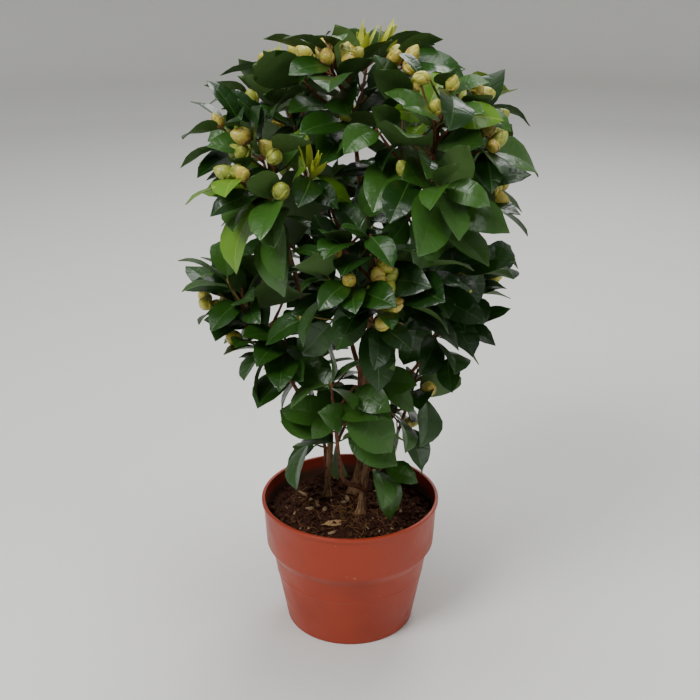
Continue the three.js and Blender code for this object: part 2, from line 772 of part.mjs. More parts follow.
const terracotta = material(0xb04a2c, 0.45);
const peat = material(0x3a2519, 0.95);
const bark = material(0x8a6a4a, 0.8);
const youngBark = material(0x7d5238, 0.7);
const foliage = material(0x1f4a1c, 0.35);

const camellia = new THREE.Group();

function addPart(name, geometry, finish) {
  const part = new THREE.Mesh(geometry, finish.clone());
  part.name = name;
  camellia.add(part);
}

const masses = crownMasses();
const stemPaths = {};
const limbOf = {};
for (const [name, stem] of Object.entries(STEMS)) {
  stemPaths[name] = stemPath(stem);
  const led = masses.find((mass) => mass.name === stem.leadsTo);
  led.entry = stemPaths[name].points[stemPaths[name].points.length - 1];
  led.growth = tangentsOf(stemPaths[name].points).pop();
  limbOf[led.name] = stemPaths[name];
}
for (const mass of masses) {
  if (BOUGH_STEMS[mass.name]) {
    limbOf[mass.name] = boughPath(stemPaths[BOUGH_STEMS[mass.name]], mass);
  }
}
const prunedPaths = PRUNED_ENDS.map(prunedPath);
const limbs = [...Object.values(limbOf), ...prunedPaths];

addPart('pot', potSolid(), terracotta);
addPart('soil', soilSolid(), peat);
for (const [name, path] of Object.entries(stemPaths)) {
  addPart(`stem_${name}`, toGeometry(limbSolid(path, STEM_SIDES)), bark);
}
for (const [i, end] of PRUNED_ENDS.entries()) {
  addPart(end.name, sideLimb(prunedPaths[i], stemPaths[end.stem]), bark);
}
for (const [name, stem] of Object.entries(BOUGH_STEMS)) {
  addPart(`bough_${name}`, sideLimb(limbOf[name], stemPaths[stem]), youngBark);
}
for (const [i, mass] of masses.entries()) {
  const grown = growMass(mass, i, limbs, limbOf[mass.name]);
  addPart(`foliage_${mass.name}`, toGeometry(massSolid(grown)), foliage);
}

export default camellia;
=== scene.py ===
"""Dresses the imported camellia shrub: bark, leaves, twigs, buds, pot and peat around its fixed frame.

The plant grows by the source's own rule, written again here in millimetres: stems and boughs on smooth
paths, masses that keep to their own space, and twigs, leaves and buds from the same draws of the same
seeds. The rule is then carried on to finer twigs, with more leaves and buds where there is room. Meshes
are worked out with numpy in millimetres and put into Blender in metres, in the frame's own place.
"""

import math

import bmesh
import bpy
import numpy as np
from bpy.props import FloatProperty, FloatVectorProperty, PointerProperty
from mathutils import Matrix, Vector


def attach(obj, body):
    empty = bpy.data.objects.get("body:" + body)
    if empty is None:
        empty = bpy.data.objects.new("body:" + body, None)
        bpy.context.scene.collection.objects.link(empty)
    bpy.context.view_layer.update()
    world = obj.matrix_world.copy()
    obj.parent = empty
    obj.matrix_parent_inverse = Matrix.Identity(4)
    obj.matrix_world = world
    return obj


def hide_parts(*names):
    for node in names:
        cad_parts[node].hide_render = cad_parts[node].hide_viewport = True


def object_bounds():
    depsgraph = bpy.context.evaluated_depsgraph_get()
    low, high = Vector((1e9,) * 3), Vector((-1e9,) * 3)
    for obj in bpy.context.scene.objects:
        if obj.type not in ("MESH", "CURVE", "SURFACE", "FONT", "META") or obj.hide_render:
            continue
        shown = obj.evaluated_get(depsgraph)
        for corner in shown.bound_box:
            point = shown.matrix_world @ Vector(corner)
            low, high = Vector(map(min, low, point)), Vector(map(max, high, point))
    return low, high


bl_info = {
    "name": "Potted camellia shrub",
    "version": (1, 0, 0),
    "blender": (4, 5, 0),
    "location": "3D View > Sidebar > Camellia",
    "description": "Builds the looks of a potted camellia shrub around its packed frame",
    "category": "Object",
}

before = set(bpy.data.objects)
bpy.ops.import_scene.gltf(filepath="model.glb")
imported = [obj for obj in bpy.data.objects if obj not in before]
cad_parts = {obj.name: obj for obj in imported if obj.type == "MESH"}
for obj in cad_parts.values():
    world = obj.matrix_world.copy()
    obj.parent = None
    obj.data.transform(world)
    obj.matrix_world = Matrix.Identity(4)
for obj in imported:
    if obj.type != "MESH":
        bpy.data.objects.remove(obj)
CAD_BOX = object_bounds()
METRES = 0.001

# Pot, in millimetres as in the source.
POT_HEIGHT = 130.0
RIM_RADIUS = 85.0
FOOT_RADIUS = 62.0
FOOT_ROUND = 2.5
POT_WALL = 1.6
FLOOR_THICKNESS = 2.5
LIP_HEIGHT = 4.0
LIP_OVERHANG = 1.6
COLLAR_HEIGHT = 46.0
COLLAR_TAPER = 2.4
STEP_HEIGHT = 9.0
STEP_INSET = 5.5
DRAIN_HOLES = 6
DRAIN_RADIUS = 5.5
DRAIN_CIRCLE = 44.0

# Soil
SOIL_TOP = 113.0
SOIL_DIP = 4.0
SOIL_LUMP = 16.0
LEVEL_REACH = (22.0, 40.0)

# Stems, boughs and pruned ends
GAP = 0.3
ROOT_FLARE = 1.5
FLARE_HEIGHT = 14.0
STEMS = {
    "main": {
        "points": [(3, 33, SOIL_TOP), (12, 30, 157), (15, 24, 240), (19, 16, 330), (6, 9, 458)],
        "radii": (4.6, 2.0),
        "leads_to": "top_1",
    },
    "left": {
        "points": [(-23, 27, SOIL_TOP), (-19, 24, 190), (-27, 8, 270), (-43, -12, 335), (-57, -27, 403)],
        "radii": (3.2, 1.8),
        "leads_to": "upper_1",
    },
    "front": {
        "points": [(10, -7, SOIL_TOP), (17, -9, 175), (30, -18, 250), (46, -28, 325), (59, -36, 400)],
        "radii": (3.6, 1.8),
        "leads_to": "upper_2",
    },
}
STEM_RINGS = 10
BOUGH_STEMS = {
    "low_1": "front", "low_2": "main", "low_3": "left",
    "middle_1": "left", "middle_2": "front", "middle_3": "main", "middle_4": "main",
    "upper_3": "main", "upper_4": "main",
}
BOUGH_RADII = (2.7, 1.6)
BOUGH_RINGS = 5
LEAVING_SLOPE = 0.9
# Pruned ends: name, stem, height, azimuth and rise in degrees, length and radii.
PRUNED_ENDS = [
    ("pruned_end_1", "main", 158, 8, 60, 46, (3.1, 2.8)),
    ("pruned_end_2", "front", 172, 205, 55, 24, (2.4, 2.2)),
]
PRUNED_RINGS = 3

# Crown: its outline, and each ring's name, count, turn in degrees, radius, height, stagger, the height
# at which its boughs leave and how much higher each next one leaves.
CROWN_TOP = 572.0
CROWN_MIDDLE = np.array([2.0, 6.0])
CROWN_RADIUS = 170.0
WIDEST_HEIGHT = 400.0
SKIRT_TOP = 150.0
SKIRT_RADIUS = 74.0
CROWN_FULLNESS = 2.7
RINGS = [
    ("low", 3, 255, 56, 214, 0, 140, 2),
    ("middle", 4, 188, 88, 328, 24, 190, 14),
    ("upper", 4, 215, 94, 426, 30, 262, 16),
    ("top", 1, 0, 0, 523, 0, 0, 0),
]
# How far each ring's leaves hang, and their width as a share of their length.
LEAF_FORMS = {"low": (0.6, 0.62), "middle": (0.05, 0.54), "upper": (0.0, 0.52), "top": (-0.1, 0.5)}
ENTRY_DEPTH = 50.0
GROWTH_ORIGIN = 150.0
SOIL_CLEARANCE = 3.0
RIM_CLEARANCE = 12.0

# Twigs
SEED = 170
SHOOT_RADII = (1.9, 1.3)
SHOOT_LENGTH = 150.0
SHOOT_SEGMENTS = 3
TWIG_RADII = (1.5, 1.1)
TWIG_SEGMENTS = 2
TWIG_STEP = 8.0
SIDE_TWIGS = {"low": 4, "middle": 9, "upper": 9, "top": 8}
SIDE_TWIG_SPAN = (0.12, 0.86)
SIDE_TWIG_LENGTHS = (82.0, 46.0)
SIDE_TWIG_SLOPES = (1.15, 0.75)
SHORTEST_TWIG = 16.0
TWIG_LIFT = 0.55
TWIG_SPREAD = (0.85, 1.15)
TWIG_MARGIN = 7.0
LEAFY_EDGE = 30.0

# Leaves
LEAF_SPACING = 18.0
LEAF_LENGTHS = (56.0, 84.0)
LEAF_WIDTH_SPREAD = (0.9, 1.1)
ROOT_DEPTH = 0.8
LEAF_ARCH = (0.25, 0.95)
LEAF_FOLD = 0.2
LEAF_SLOPES = (1.25, 0.7)
LEAF_OUTWARDS = 0.45
LEAF_LEAN = 0.7
SAMPLE_ROWS = 7
LAST_SAMPLE = 0.999
STALK_ROWS = 1
BASE_ROWS = 2
LEAF_TRIES = 12
LEAST_LEAF = 0.62
BARE_SHOOT = 0.3
BARE_TWIG = 0.18
LAST_LEAF = 0.8
TIP_LEAVES = 3
TIP_SPACING = 4.0
TIP_LEAF_SIZE = 0.86
LEAF_OUTLINE = (0.82, 0.8)
# How far a leaf keeps from its space's edge, the limbs, the twigs, the leaves and the buds.
LEAF_ROOM = {"margin": 0.8, "edge": 0.8, "limbs": 5.0, "twigs": 3.0, "leaves": 5.0, "buds": 9.0}

# Buds
BUD_LENGTHS = (15.0, 20.0)
BUD_WIDTH = 0.7
BUD_CHANCE = 0.62
MOST_BUDS = 3
BUD_SPREAD = 0.75
LONE_BUD_SLOPE = 0.15
BUD_DEPTH = 1.0
BUD_MARGIN = 7.5

GOLDEN_ANGLE = 2.39996
FULL_TURN = 2 * math.pi
UP = np.array([0.0, 0.0, 1.0])
SIDEWAYS = np.array([1.0, 0.0, 0.0])
NEARLY_UPRIGHT = 0.9
TINY = 1e-12
# The numbers of the source's draws: each state is a factor times the last plus an addend, in 32 bits.
SEED_FACTOR = 2654435761
STATE_FACTOR = 1664525
STATE_ADDEND = 1013904223
STATES = 2**32

# The finer growth: twigs that leave the source's twigs, and what grows on both of them.
FINE_SEED = 700
FINE_TWIGS = {"low": 3, "middle": 9, "upper": 10, "top": 9}
FINE_TWIG_SPAN = (0.04, 0.96)
FINE_TWIG_LENGTHS = (52.0, 30.0)
FINE_TWIG_SPREAD = (0.8, 1.2)
FINE_TWIG_RADII = (1.15, 0.8)
# Fine twigs and leaves may reach into the next mass's space, but not past the crown's outline.
FINE_TWIG_ROOM = {"margin": -14.0, "edge": 18.0, "limbs": 4.0}
FINE_SPACING = 20.0
FINE_LEAF_SIZE = 0.9
# How far the finer leaves may turn from the source's posture: outwards or inwards, and up or down.
FINE_LOOSENESS = (0.5, 0.45)
# A finer leaf isn't placed where a leaf whose middle is nearer than this, in millimetres, lies alike.
ALIKE_REACH = 22.0
ALIKE_TURN = 0.88
FINE_BUD_CHANCE = {"low": 0.25, "middle": 0.75, "upper": 0.85, "top": 0.85}
FINE_ROOM = {"margin": -26.0, "edge": 0.8, "limbs": 3.5, "twigs": 2.0, "leaves": 3.6, "buds": 8.0}
NEARBY = 120.0
# Short leafy twigs near the stems' feet: the mass that they count to, their stem, height, and azimuth and
# rise in degrees. They start from the stem, so they need less room from the limbs.
FOOT_TWIGS = [
    ("low_1", "front", 160.0, -40.0, 12.0),
    ("low_3", "left", 166.0, 200.0, 12.0),
]
FOOT_SEED = 900
FOOT_LEAF_SIZE = 0.76
FOOT_TWIG_LENGTH = 26.0
FOOT_TWIG_ROOM = {"margin": -40.0, "edge": 18.0, "limbs": 0.5}
FOOT_SPACING = 30.0
FOOT_ROOM = {**FINE_ROOM, "margin": -40.0}
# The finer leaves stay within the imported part's box, from which they may stand proud by this much.
LOWEST, HIGHEST = (np.array(corner) / METRES for corner in CAD_BOX)
BOX_PROUD = 1.5


def mix(low, high, share):
    """What lies at a share of the way from one value to another."""
    return low + (high - low) * share


def smooth(low, high, value):
    """A soft step from 0 to 1: three times the square of the share of the way, less twice its cube."""
    share = np.clip((value - low) / (high - low), 0.0, 1.0)
    return share * share * (3 - 2 * share)


def unit(vector):
    """Each vector divided by its length."""
    return vector / np.linalg.norm(vector, axis=-1, keepdims=True)


def draws_from(seed):
    """Returns a function that gives the source's numbers from 0 to 1, in a seed's own order."""
    state = (seed + 1) * SEED_FACTOR % STATES

    def draw():
        nonlocal state
        state = (state * STATE_FACTOR + STATE_ADDEND) % STATES
        return state / STATES

    return draw


def around(axis, angles):
    """Directions at right angles to an axis, turned about it by some angles."""
    first = unit(np.cross(UP if abs(axis[2]) < NEARLY_UPRIGHT else SIDEWAYS, axis))
    angles = np.asarray(angles)[..., None]
    return first * np.cos(angles) + np.cross(axis, first) * np.sin(angles)


def branching(axis, slope, angles):
    """Directions that leave an axis at a slope, turned about it by some angles."""
    return axis * math.cos(slope) + around(axis, angles) * math.sin(slope)


def circle(columns):
    """The angles of some columns, spread evenly round."""
    return 2 * np.pi * np.arange(columns) / columns


def tangents_of(points):
    """The directions in which a path of points runs at each of them, from its neighbours."""
    ahead = np.vstack([points[1:], points[-1:]])
    behind = np.vstack([points[:1], points[:-1]])
    return unit(ahead - behind)


def through_points(points, count):
    """A centripetal Catmull-Rom curve through points, at places even in its parameter.

    Between two points it is the cubic that starts and ends there, with slopes from the neighbours that are
    weighted by the fourth root of the squared distances. The ends are carried on straight.
    """
    points = np.array(points, float)
    padded = np.vstack([2 * points[0] - points[1], points, 2 * points[-1] - points[-2]])
    place = np.linspace(0, len(points) - 1, count)
    span = np.minimum(place.astype(int), len(points) - 2)
    share = (place - span)[:, None]
    x0, x1, x2, x3 = (padded[span + k] for k in range(4))
    d0, d1, d2 = (
        np.sum((b - a) ** 2, axis=1, keepdims=True) ** 0.25 for a, b in ((x0, x1), (x1, x2), (x2, x3))
    )
    t1 = ((x1 - x0) / d0 - (x2 - x0) / (d0 + d1) + (x2 - x1) / d1) * d1
    t2 = ((x2 - x1) / d1 - (x3 - x1) / (d1 + d2) + (x3 - x2) / d2) * d1
    square = -3 * x1 + 3 * x2 - 2 * t1 - t2
    cube = 2 * x1 - 2 * x2 + t1 + t2
    return x1 + t1 * share + square * share**2 + cube * share**3


def bezier(a, b, c, d, count):
    """A cubic Bezier curve at places even in its parameter."""
    t = np.linspace(0, 1, count)[:, None]
    return (1 - t) ** 3 * a + 3 * (1 - t) ** 2 * t * b + 3 * (1 - t) * t**2 * c + t**3 * d


def path_of(points, radii, length=None):
    """A limb or twig: its points, the radii at them and, for a twig, the length that it has grown."""
    return {"points": np.array(points, float), "radii": np.array(radii, float), "length": length}


def even_radii(radii, count):
    """Radii that go in even steps from the first to the last."""
    return mix(radii[0], radii[1], np.linspace(0, 1, count))


def stem_path(stem):
    """The stem's smooth path with its root flare, as in the source."""
    places = np.array(stem["points"], float)
    places[0, 2] += GAP
    points = through_points(places, STEM_RINGS)
    radii = even_radii(stem["radii"], STEM_RINGS)
    collar = mix(points[0], points[1], FLARE_HEIGHT / (points[1, 2] - SOIL_TOP))
    return path_of(
        np.vstack([points[0], collar, points[1:]]),
        np.hstack([radii[0] * ROOT_FLARE, radii[0], radii[1:]]),
    )


def path_at(path, height):
    """The point and direction of a path at a height."""
    points = path["points"]
    i = int(np.argmax(points[1:, 2] >= height))
    low, high = points[i], points[i + 1]
    return mix(low, high, (height - low[2]) / (high[2] - low[2])), unit(high - low)


def bough_curve(stem, mass, count):
    """A bough leaves its stem at a slope and bends into the way that its mass grows."""
    point, direction = path_at(stem, mass["leaving"])
    across = mass["entry"] - point
    across = unit(across - direction * across.dot(direction))
    start = direction * math.cos(LEAVING_SLOPE) + across * math.sin(LEAVING_SLOPE)
    third = np.linalg.norm(mass["entry"] - point) / 3
    before_entry = mass["entry"] - mass["growth"] * third
    return bezier(point, point + start * third, before_entry, mass["entry"], count)


def pruned_curve(stem, height, azimuth, rise, length, count):
    """A pruned end is straight: it leaves its stem at a height, an azimuth and a rise."""
    point, _ = path_at(stem, height)
    azimuth, rise = math.radians(azimuth), math.radians(rise)
    level = math.cos(rise)
    direction = np.array([level * math.cos(azimuth), level * math.sin(azimuth), math.sin(rise)])
    return point + direction * np.linspace(0, length, count)[:, None]


def crown_masses():
    """Each mass's centre, the way it grows, and the point where its limb enters it."""
    masses = []
    for name, count, turn, radius, ring_height, stagger, leaving, climb in RINGS:
        for i in range(count):
            azimuth = math.radians(turn + 360 * i / count)
            height = ring_height + stagger * (1 if i % 2 else -1)
            spread = np.array([radius * math.cos(azimuth), radius * math.sin(azimuth)])
            centre = np.array([*(CROWN_MIDDLE + spread), height])
            origin = np.array([*CROWN_MIDDLE, height - GROWTH_ORIGIN])
            growth = unit(centre - origin)
            masses.append({
                "name": f"{name}_{i + 1}",
                "ring": name,
                "leaving": leaving + climb * i,
                "centre": centre,
                "growth": growth,
                "entry": centre - growth * ENTRY_DEPTH,
            })
    return masses


def crown_radius(height):
    """The crown's radius at a height: a full oval above its widest height, and a funnel below it.

    On the oval the shares of radius and height, each to the same power, add up to one. The funnel is a
    soft step down to the skirt's radius.
    """
    rise = np.clip((height - WIDEST_HEIGHT) / (CROWN_TOP - WIDEST_HEIGHT), 0, 1)
    above = CROWN_RADIUS * (1 - rise**CROWN_FULLNESS) ** (1 / CROWN_FULLNESS)
    below = mix(SKIRT_RADIUS, CROWN_RADIUS, smooth(SKIRT_TOP, WIDEST_HEIGHT, height))
    return np.where(height > WIDEST_HEIGHT, above, below)


def share_space(masses):
    """Gives each mass the planes halfway to its neighbours, behind which its own space lies."""
    for mass in masses:
        others = np.array([other["centre"] for other in masses if other is not mass])
        mass["ways"] = unit(others - mass["centre"])
        mass["planes"] = np.sum((others + mass["centre"]) / 2 * mass["ways"], axis=1)


def in_space(places, mass, margin, edge):
    """For each place, whether it lies in a mass's own space, clear of its neighbours and the outline."""
    x, y, z = np.moveaxis(places, -1, 0)
    inside = np.hypot(x - CROWN_MIDDLE[0], y - CROWN_MIDDLE[1]) <= crown_radius(z) - edge
    inside &= z <= CROWN_TOP - edge
    ground = np.where(np.hypot(x, y) > RIM_RADIUS - RIM_CLEARANCE, POT_HEIGHT, SOIL_TOP)
    inside &= z >= ground + SOIL_CLEARANCE + max(margin, 0)
    return inside & (places @ mass["ways"].T - mass["planes"] < -margin).all(axis=-1)


def segments_of(paths):
    """The straight pieces of some paths: their starts, ends and greater radii."""
    starts = np.vstack([p["points"][:-1] for p in paths])
    ends = np.vstack([p["points"][1:] for p in paths])
    radii = np.hstack([np.maximum(p["radii"][:-1], p["radii"][1:]) for p in paths])
    return starts, ends, radii


def clear_of(places, segments):
    """Smallest distance from each place to the surfaces of some limbs or twigs."""
    starts, ends, radii = segments
    run = ends - starts
    from_start = places[..., None, :] - starts
    share = np.einsum("...ij,ij->...i", from_start, run) / np.maximum(np.sum(run**2, axis=1), TINY)
    from_line = from_start - run * np.clip(share, 0, 1)[..., None]
    return np.min(np.sqrt(np.einsum("...ij,...ij->...i", from_line, from_line)) - radii, axis=-1)


def twig_at(points, share):
    """The place and direction at a share of a twig's length."""
    along = share * (len(points) - 1)
    i = min(int(along), len(points) - 2)
    return mix(points[i], points[i + 1], along - i), unit(points[i + 1] - points[i])


def grow_twig(mass, limbs, start, direction, length, radii, segments, room):
    """A twig bends upwards step by step and ends before it leaves the mass's space or meets a limb."""
    points = [start]
    heading = direction
    gone = TWIG_STEP
    while gone <= length:
        heading = unit(heading + UP * (TWIG_LIFT * TWIG_STEP / length))
        point = points[-1] + heading * TWIG_STEP
        if not in_space(point, mass, room["margin"], room["edge"]):
            break
        if clear_of(point, limbs) < room["limbs"]:
            break
        points.append(point)
        gone += TWIG_STEP
    grown = (len(points) - 1) * TWIG_STEP
    if grown < SHORTEST_TWIG:
        return None
    shares = np.linspace(0, 1, segments + 1)
    places = [twig_at(points, share)[0] for share in shares]
    return path_of(places, mix(radii[0], radii[1], shares), length=grown)


def mass_twigs(mass, limbs, others, draw):
    """The mass's own shoot, then its side twigs, each by the source's rule and draws."""
    room = {"margin": TWIG_MARGIN, "edge": LEAFY_EDGE, "limbs": TWIG_MARGIN}
    start = mass["entry"] + mass["growth"] * GAP
    shoot = grow_twig(
        mass, others, start, mass["growth"], SHOOT_LENGTH, SHOOT_RADII, SHOOT_SEGMENTS, room
    )
    twigs = [shoot]
    count = SIDE_TWIGS[mass["ring"]]
    for k in range(count):
        order = (k + draw()) / count
        point, direction = twig_at(shoot["points"], mix(*SIDE_TWIG_SPAN, order))
        slope = mix(*SIDE_TWIG_SLOPES, order)
        length = mix(*SIDE_TWIG_LENGTHS, order) * mix(*TWIG_SPREAD, draw())
        heading = branching(direction, slope, k * GOLDEN_ANGLE + draw())
        twig = grow_twig(mass, limbs, point, heading, length, TWIG_RADII, TWIG_SEGMENTS, room)
        if twig:
            twigs.append(twig)
    return twigs


def leaf_middles(leaves, along):
    """The middle lines of some leaves, and the ways up there, at shares of their length.

    Each is an arc that bends away from the leaf's upper face: it runs on by the sine and sinks by one less
    the cosine of an angle that grows evenly from the stalk, both times length over arch.
    """
    turn = (leaves["arch"][:, None] * along)[..., None]
    direction, normal = leaves["direction"][:, None], leaves["normal"][:, None]
    reach = (leaves["length"] / leaves["arch"])[:, None, None]
    middle = leaves["root"][:, None] + direction * reach * np.sin(turn)
    middle = middle - normal * reach * (1 - np.cos(turn))
    return middle, normal * np.cos(turn) + direction * np.sin(turn)


ALONG = np.minimum(np.arange(1, SAMPLE_ROWS + 1) / SAMPLE_ROWS, LAST_SAMPLE)
ACROSS = np.array([-1, -0.5, 0, 0.5, 1])
SAMPLE_WIDTHS = 0.5 * np.sin(np.pi * ALONG ** LEAF_OUTLINE[0]) ** LEAF_OUTLINE[1]
SAMPLE_ROW = np.repeat(np.arange(1, SAMPLE_ROWS + 1), len(ACROSS))


def leaf_samples(leaves):
    """Places all over some leaves, row by row from their stalks, by which they are tested."""
    middle, up = leaf_middles(leaves, ALONG)
    side = np.cross(leaves["normal"], leaves["direction"])[:, None, None]
    across = (leaves["width"][:, None] * SAMPLE_WIDTHS)[..., None, None] * ACROSS[:, None]
    places = middle[:, :, None] + side * across * math.cos(LEAF_FOLD)
    places = places + up[:, :, None] * np.abs(across) * math.sin(LEAF_FOLD)
    return places.reshape(len(places), -1, 3)


def far_from(samples, others, gap):
    """For each leaf's samples, whether they all keep a gap from some other places."""
    flat = samples.reshape(-1, 3)
    near = others[np.max(np.abs(others - flat[0]), axis=1) < NEARBY]
    if len(near) == 0:
        return np.ones(len(samples), bool)
    squares = np.sum(flat**2, axis=1)[:, None] + np.sum(near**2, axis=1) - 2 * flat @ near.T
    return squares.reshape(len(samples), -1).min(axis=1) > gap * gap


def unlike(mass, leaves):
    """For each leaf, whether no near leaf of the mass runs and faces the same way."""
    if not mass["leaves"]:
        return np.ones(len(leaves["length"]), bool)
    middle = leaves["root"] + leaves["direction"] * leaves["length"][:, None] / 2
    others = {key: np.array([leaf[key] for leaf in mass["leaves"]]) for key in leaves}
    other_middle = others["root"] + others["direction"] * others["length"][:, None] / 2
    near = np.linalg.norm(middle[:, None] - other_middle, axis=-1) < ALIKE_REACH
    alike = leaves["direction"] @ others["direction"].T > ALIKE_TURN
    alike &= leaves["normal"] @ others["normal"].T > ALIKE_TURN
    return ~(near & alike).any(axis=1)


def place_leaf(mass, limbs, twigs, bud_middles, taken, node, room, draw):
    """The first of a few turns about the twig, each a little smaller, in which a leaf fits, or None.

    It fits where it keeps to its mass's space and clear of the limbs, twigs, buds and leaves there. Finer
    leaves also take a looser posture, keep to the part's box and keep from lying alike.
    """
    droop, plump = LEAF_FORMS[mass["ring"]]
    outwards = unit(np.array([*(node["point"][:2] - CROWN_MIDDLE), 0.0]))
    full_length = mix(*LEAF_LENGTHS, draw()) * node["size"]
    plump = plump * mix(*LEAF_WIDTH_SPREAD, draw())
    arch = mix(*LEAF_ARCH, draw())
    lean = np.array([mix(-LEAF_LEAN, LEAF_LEAN, draw()), mix(-LEAF_LEAN, LEAF_LEAN, draw()), 1.0])
    spread = LEAF_OUTWARDS
    if node["finer"]:
        spread += mix(-FINE_LOOSENESS[0], FINE_LOOSENESS[0], draw())
        droop += mix(-FINE_LOOSENESS[1], FINE_LOOSENESS[1], draw())
    attempts = np.arange(LEAF_TRIES)
    direction = branching(node["direction"], node["slope"], node["azimuth"] + attempts * GOLDEN_ANGLE)
    direction = unit(direction + outwards * spread - UP * droop)
    normal = lean + outwards * spread
    normal = unit(normal - direction * (direction @ normal)[:, None])
    length = full_length * mix(1, LEAST_LEAF, attempts / LEAF_TRIES)
    leaves = {
        "root": np.repeat(node["point"][None], LEAF_TRIES, axis=0),
        "direction": direction,
        "normal": normal,
        "length": length,
        "width": length * plump,
        "arch": np.full(LEAF_TRIES, arch),
    }
    samples = leaf_samples(leaves)
    blades = samples[:, SAMPLE_ROW > STALK_ROWS]
    tests = [
        lambda at: in_space(samples[at], mass, room["margin"], room["edge"]).all(axis=1),
        lambda at: clear_of(samples[at], limbs).min(axis=1) >= room["limbs"],
        lambda at: clear_of(samples[at][:, SAMPLE_ROW > BASE_ROWS], twigs).min(axis=1) >= room["twigs"],
        lambda at: far_from(blades[at], bud_middles, room["buds"]),
        lambda at: far_from(blades[at], taken, room["leaves"]),
    ]
    if node["finer"]:
        low, high = LOWEST - BOX_PROUD, HIGHEST + BOX_PROUD
        tests.append(lambda at: ((samples[at] > low) & (samples[at] < high)).all(axis=(1, 2)))
        tests.append(lambda at: unlike(mass, {key: value[at] for key, value in leaves.items()}))
    fitting = attempts
    for test in tests:
        fitting = fitting[test(fitting)]
        if len(fitting) == 0:
            return None
    leaf = {key: value[fitting[0]] for key, value in leaves.items()}
    leaf["places"] = blades[fitting[0]]
    return leaf


def leaf_nodes(twig, bare, spacing, tip_leaves, draw):
    """The nodes along a twig that may carry a leaf, and the few close together at its tip."""
    nodes = []
    count = int(twig["length"] * (1 - bare) / spacing)
    first = draw() * FULL_TURN
    for i in range(count + tip_leaves):
        at_tip = i >= count
        if at_tip:
            share = 1 - (i - count + 0.5) * TIP_SPACING / twig["length"]
        else:
            share = mix(bare, LAST_LEAF, (i + 0.5) / count)
        point, direction = twig_at(twig["points"], share)
        nodes.append({
            "point": point,
            "direction": direction,
            "azimuth": first + i * GOLDEN_ANGLE,
            "slope": LEAF_SLOPES[1] if at_tip else mix(*LEAF_SLOPES, share),
            "size": TIP_LEAF_SIZE if at_tip else 1.0,
        })
    return nodes


def tip_buds(mass, limbs, twig, chance_of_buds, draw):
    """Buds stand at a twig's tip, alone or a few together, spread about its direction."""
    buds = []
    chance = draw()
    count = 1 + int(draw() * MOST_BUDS)
    point, direction = twig_at(twig["points"], 1)
    root = point - direction * BUD_DEPTH
    for k in range(count):
        length = mix(*BUD_LENGTHS, draw())
        slope = LONE_BUD_SLOPE if count == 1 else BUD_SPREAD
        heading = branching(direction, slope, FULL_TURN * k / count + draw())
        places = root + heading * np.array([[0.5 * length], [length]])
        clear = in_space(places, mass, BUD_MARGIN, BUD_MARGIN).all()
        clear = clear and clear_of(places, limbs).min() > BUD_MARGIN
        if chance < chance_of_buds and clear:
            buds.append({"root": root, "direction": heading, "length": length, "middle": places[0]})
    return buds


def grow_leaves(mass, limbs, twigs, sprays, bud_middles, taken, spacing, room, size, draw):
    """Leaves along some twigs and at their tips, each where it fits. Returns the places then taken.

    A leaf of the source's own has size 1, and the finer ones a share of it.
    """
    segments = segments_of(twigs)
    for twig, spray in zip(twigs, sprays):
        bare = BARE_SHOOT if twig is mass["twigs"][0] else BARE_TWIG
        for node in leaf_nodes(twig, bare, spacing, TIP_LEAVES, draw):
            node["finer"] = size < 1
            node["size"] *= size
            leaf = place_leaf(mass, limbs, segments, bud_middles, taken, node, room, draw)
            if leaf:
                leaf["spray"] = spray
                mass["leaves"].append(leaf)
                taken = np.vstack([taken, leaf["places"]])
    return taken


def grow_mass(mass, index, limbs, others):
    """A mass's twigs, buds and leaves by the source's rule. Returns the places that its leaves take."""
    draw = draws_from(SEED + index)
    mass["twigs"] = mass_twigs(mass, limbs, others, draw)
    mass["buds"] = [bud for twig in mass["twigs"] for bud in tip_buds(mass, limbs, twig, BUD_CHANCE, draw)]
    mass["leaves"] = []
    middles = np.array([bud["middle"] for bud in mass["buds"]]).reshape(-1, 3)
    sprays = range(len(mass["twigs"]))
    none = np.zeros((0, 3))
    return grow_leaves(
        mass, limbs, mass["twigs"], sprays, middles, none, LEAF_SPACING, LEAF_ROOM, 1, draw
    )


def grow_finer(mass, index, limbs, bud_middles, taken):
    """Carries a mass on to finer twigs, and dresses all its twigs with more buds and leaves."""
    draw = draws_from(FINE_SEED + index)
    coarse = mass["twigs"]
    mass["fine_twigs"] = []
    for k in range(FINE_TWIGS[mass["ring"]]):
        share = mix(*FINE_TWIG_SPAN, draw())
        point, direction = twig_at(coarse[k % len(coarse)]["points"], share)
        slope = mix(*SIDE_TWIG_SLOPES, share)
        length = mix(*FINE_TWIG_LENGTHS, share) * mix(*FINE_TWIG_SPREAD, draw())
        heading = branching(direction, slope, k * GOLDEN_ANGLE + draw())
        twig = grow_twig(
            mass, limbs, point, heading, length, FINE_TWIG_RADII, TWIG_SEGMENTS, FINE_TWIG_ROOM
        )
        if twig:
            mass["fine_twigs"].append(twig)
            for bud in tip_buds(mass, limbs, twig, FINE_BUD_CHANCE[mass["ring"]], draw):
                mass["buds"].append(bud)
                bud_middles = np.vstack([bud_middles, bud["middle"]])
    twigs = mass["fine_twigs"] + coarse
    sprays = [(len(coarse) + t) % len(twigs) for t in range(len(twigs))]
    taken = grow_leaves(
        mass, limbs, twigs, sprays, bud_middles, taken, FINE_SPACING, FINE_ROOM, FINE_LEAF_SIZE, draw
    )
    return bud_middles, taken


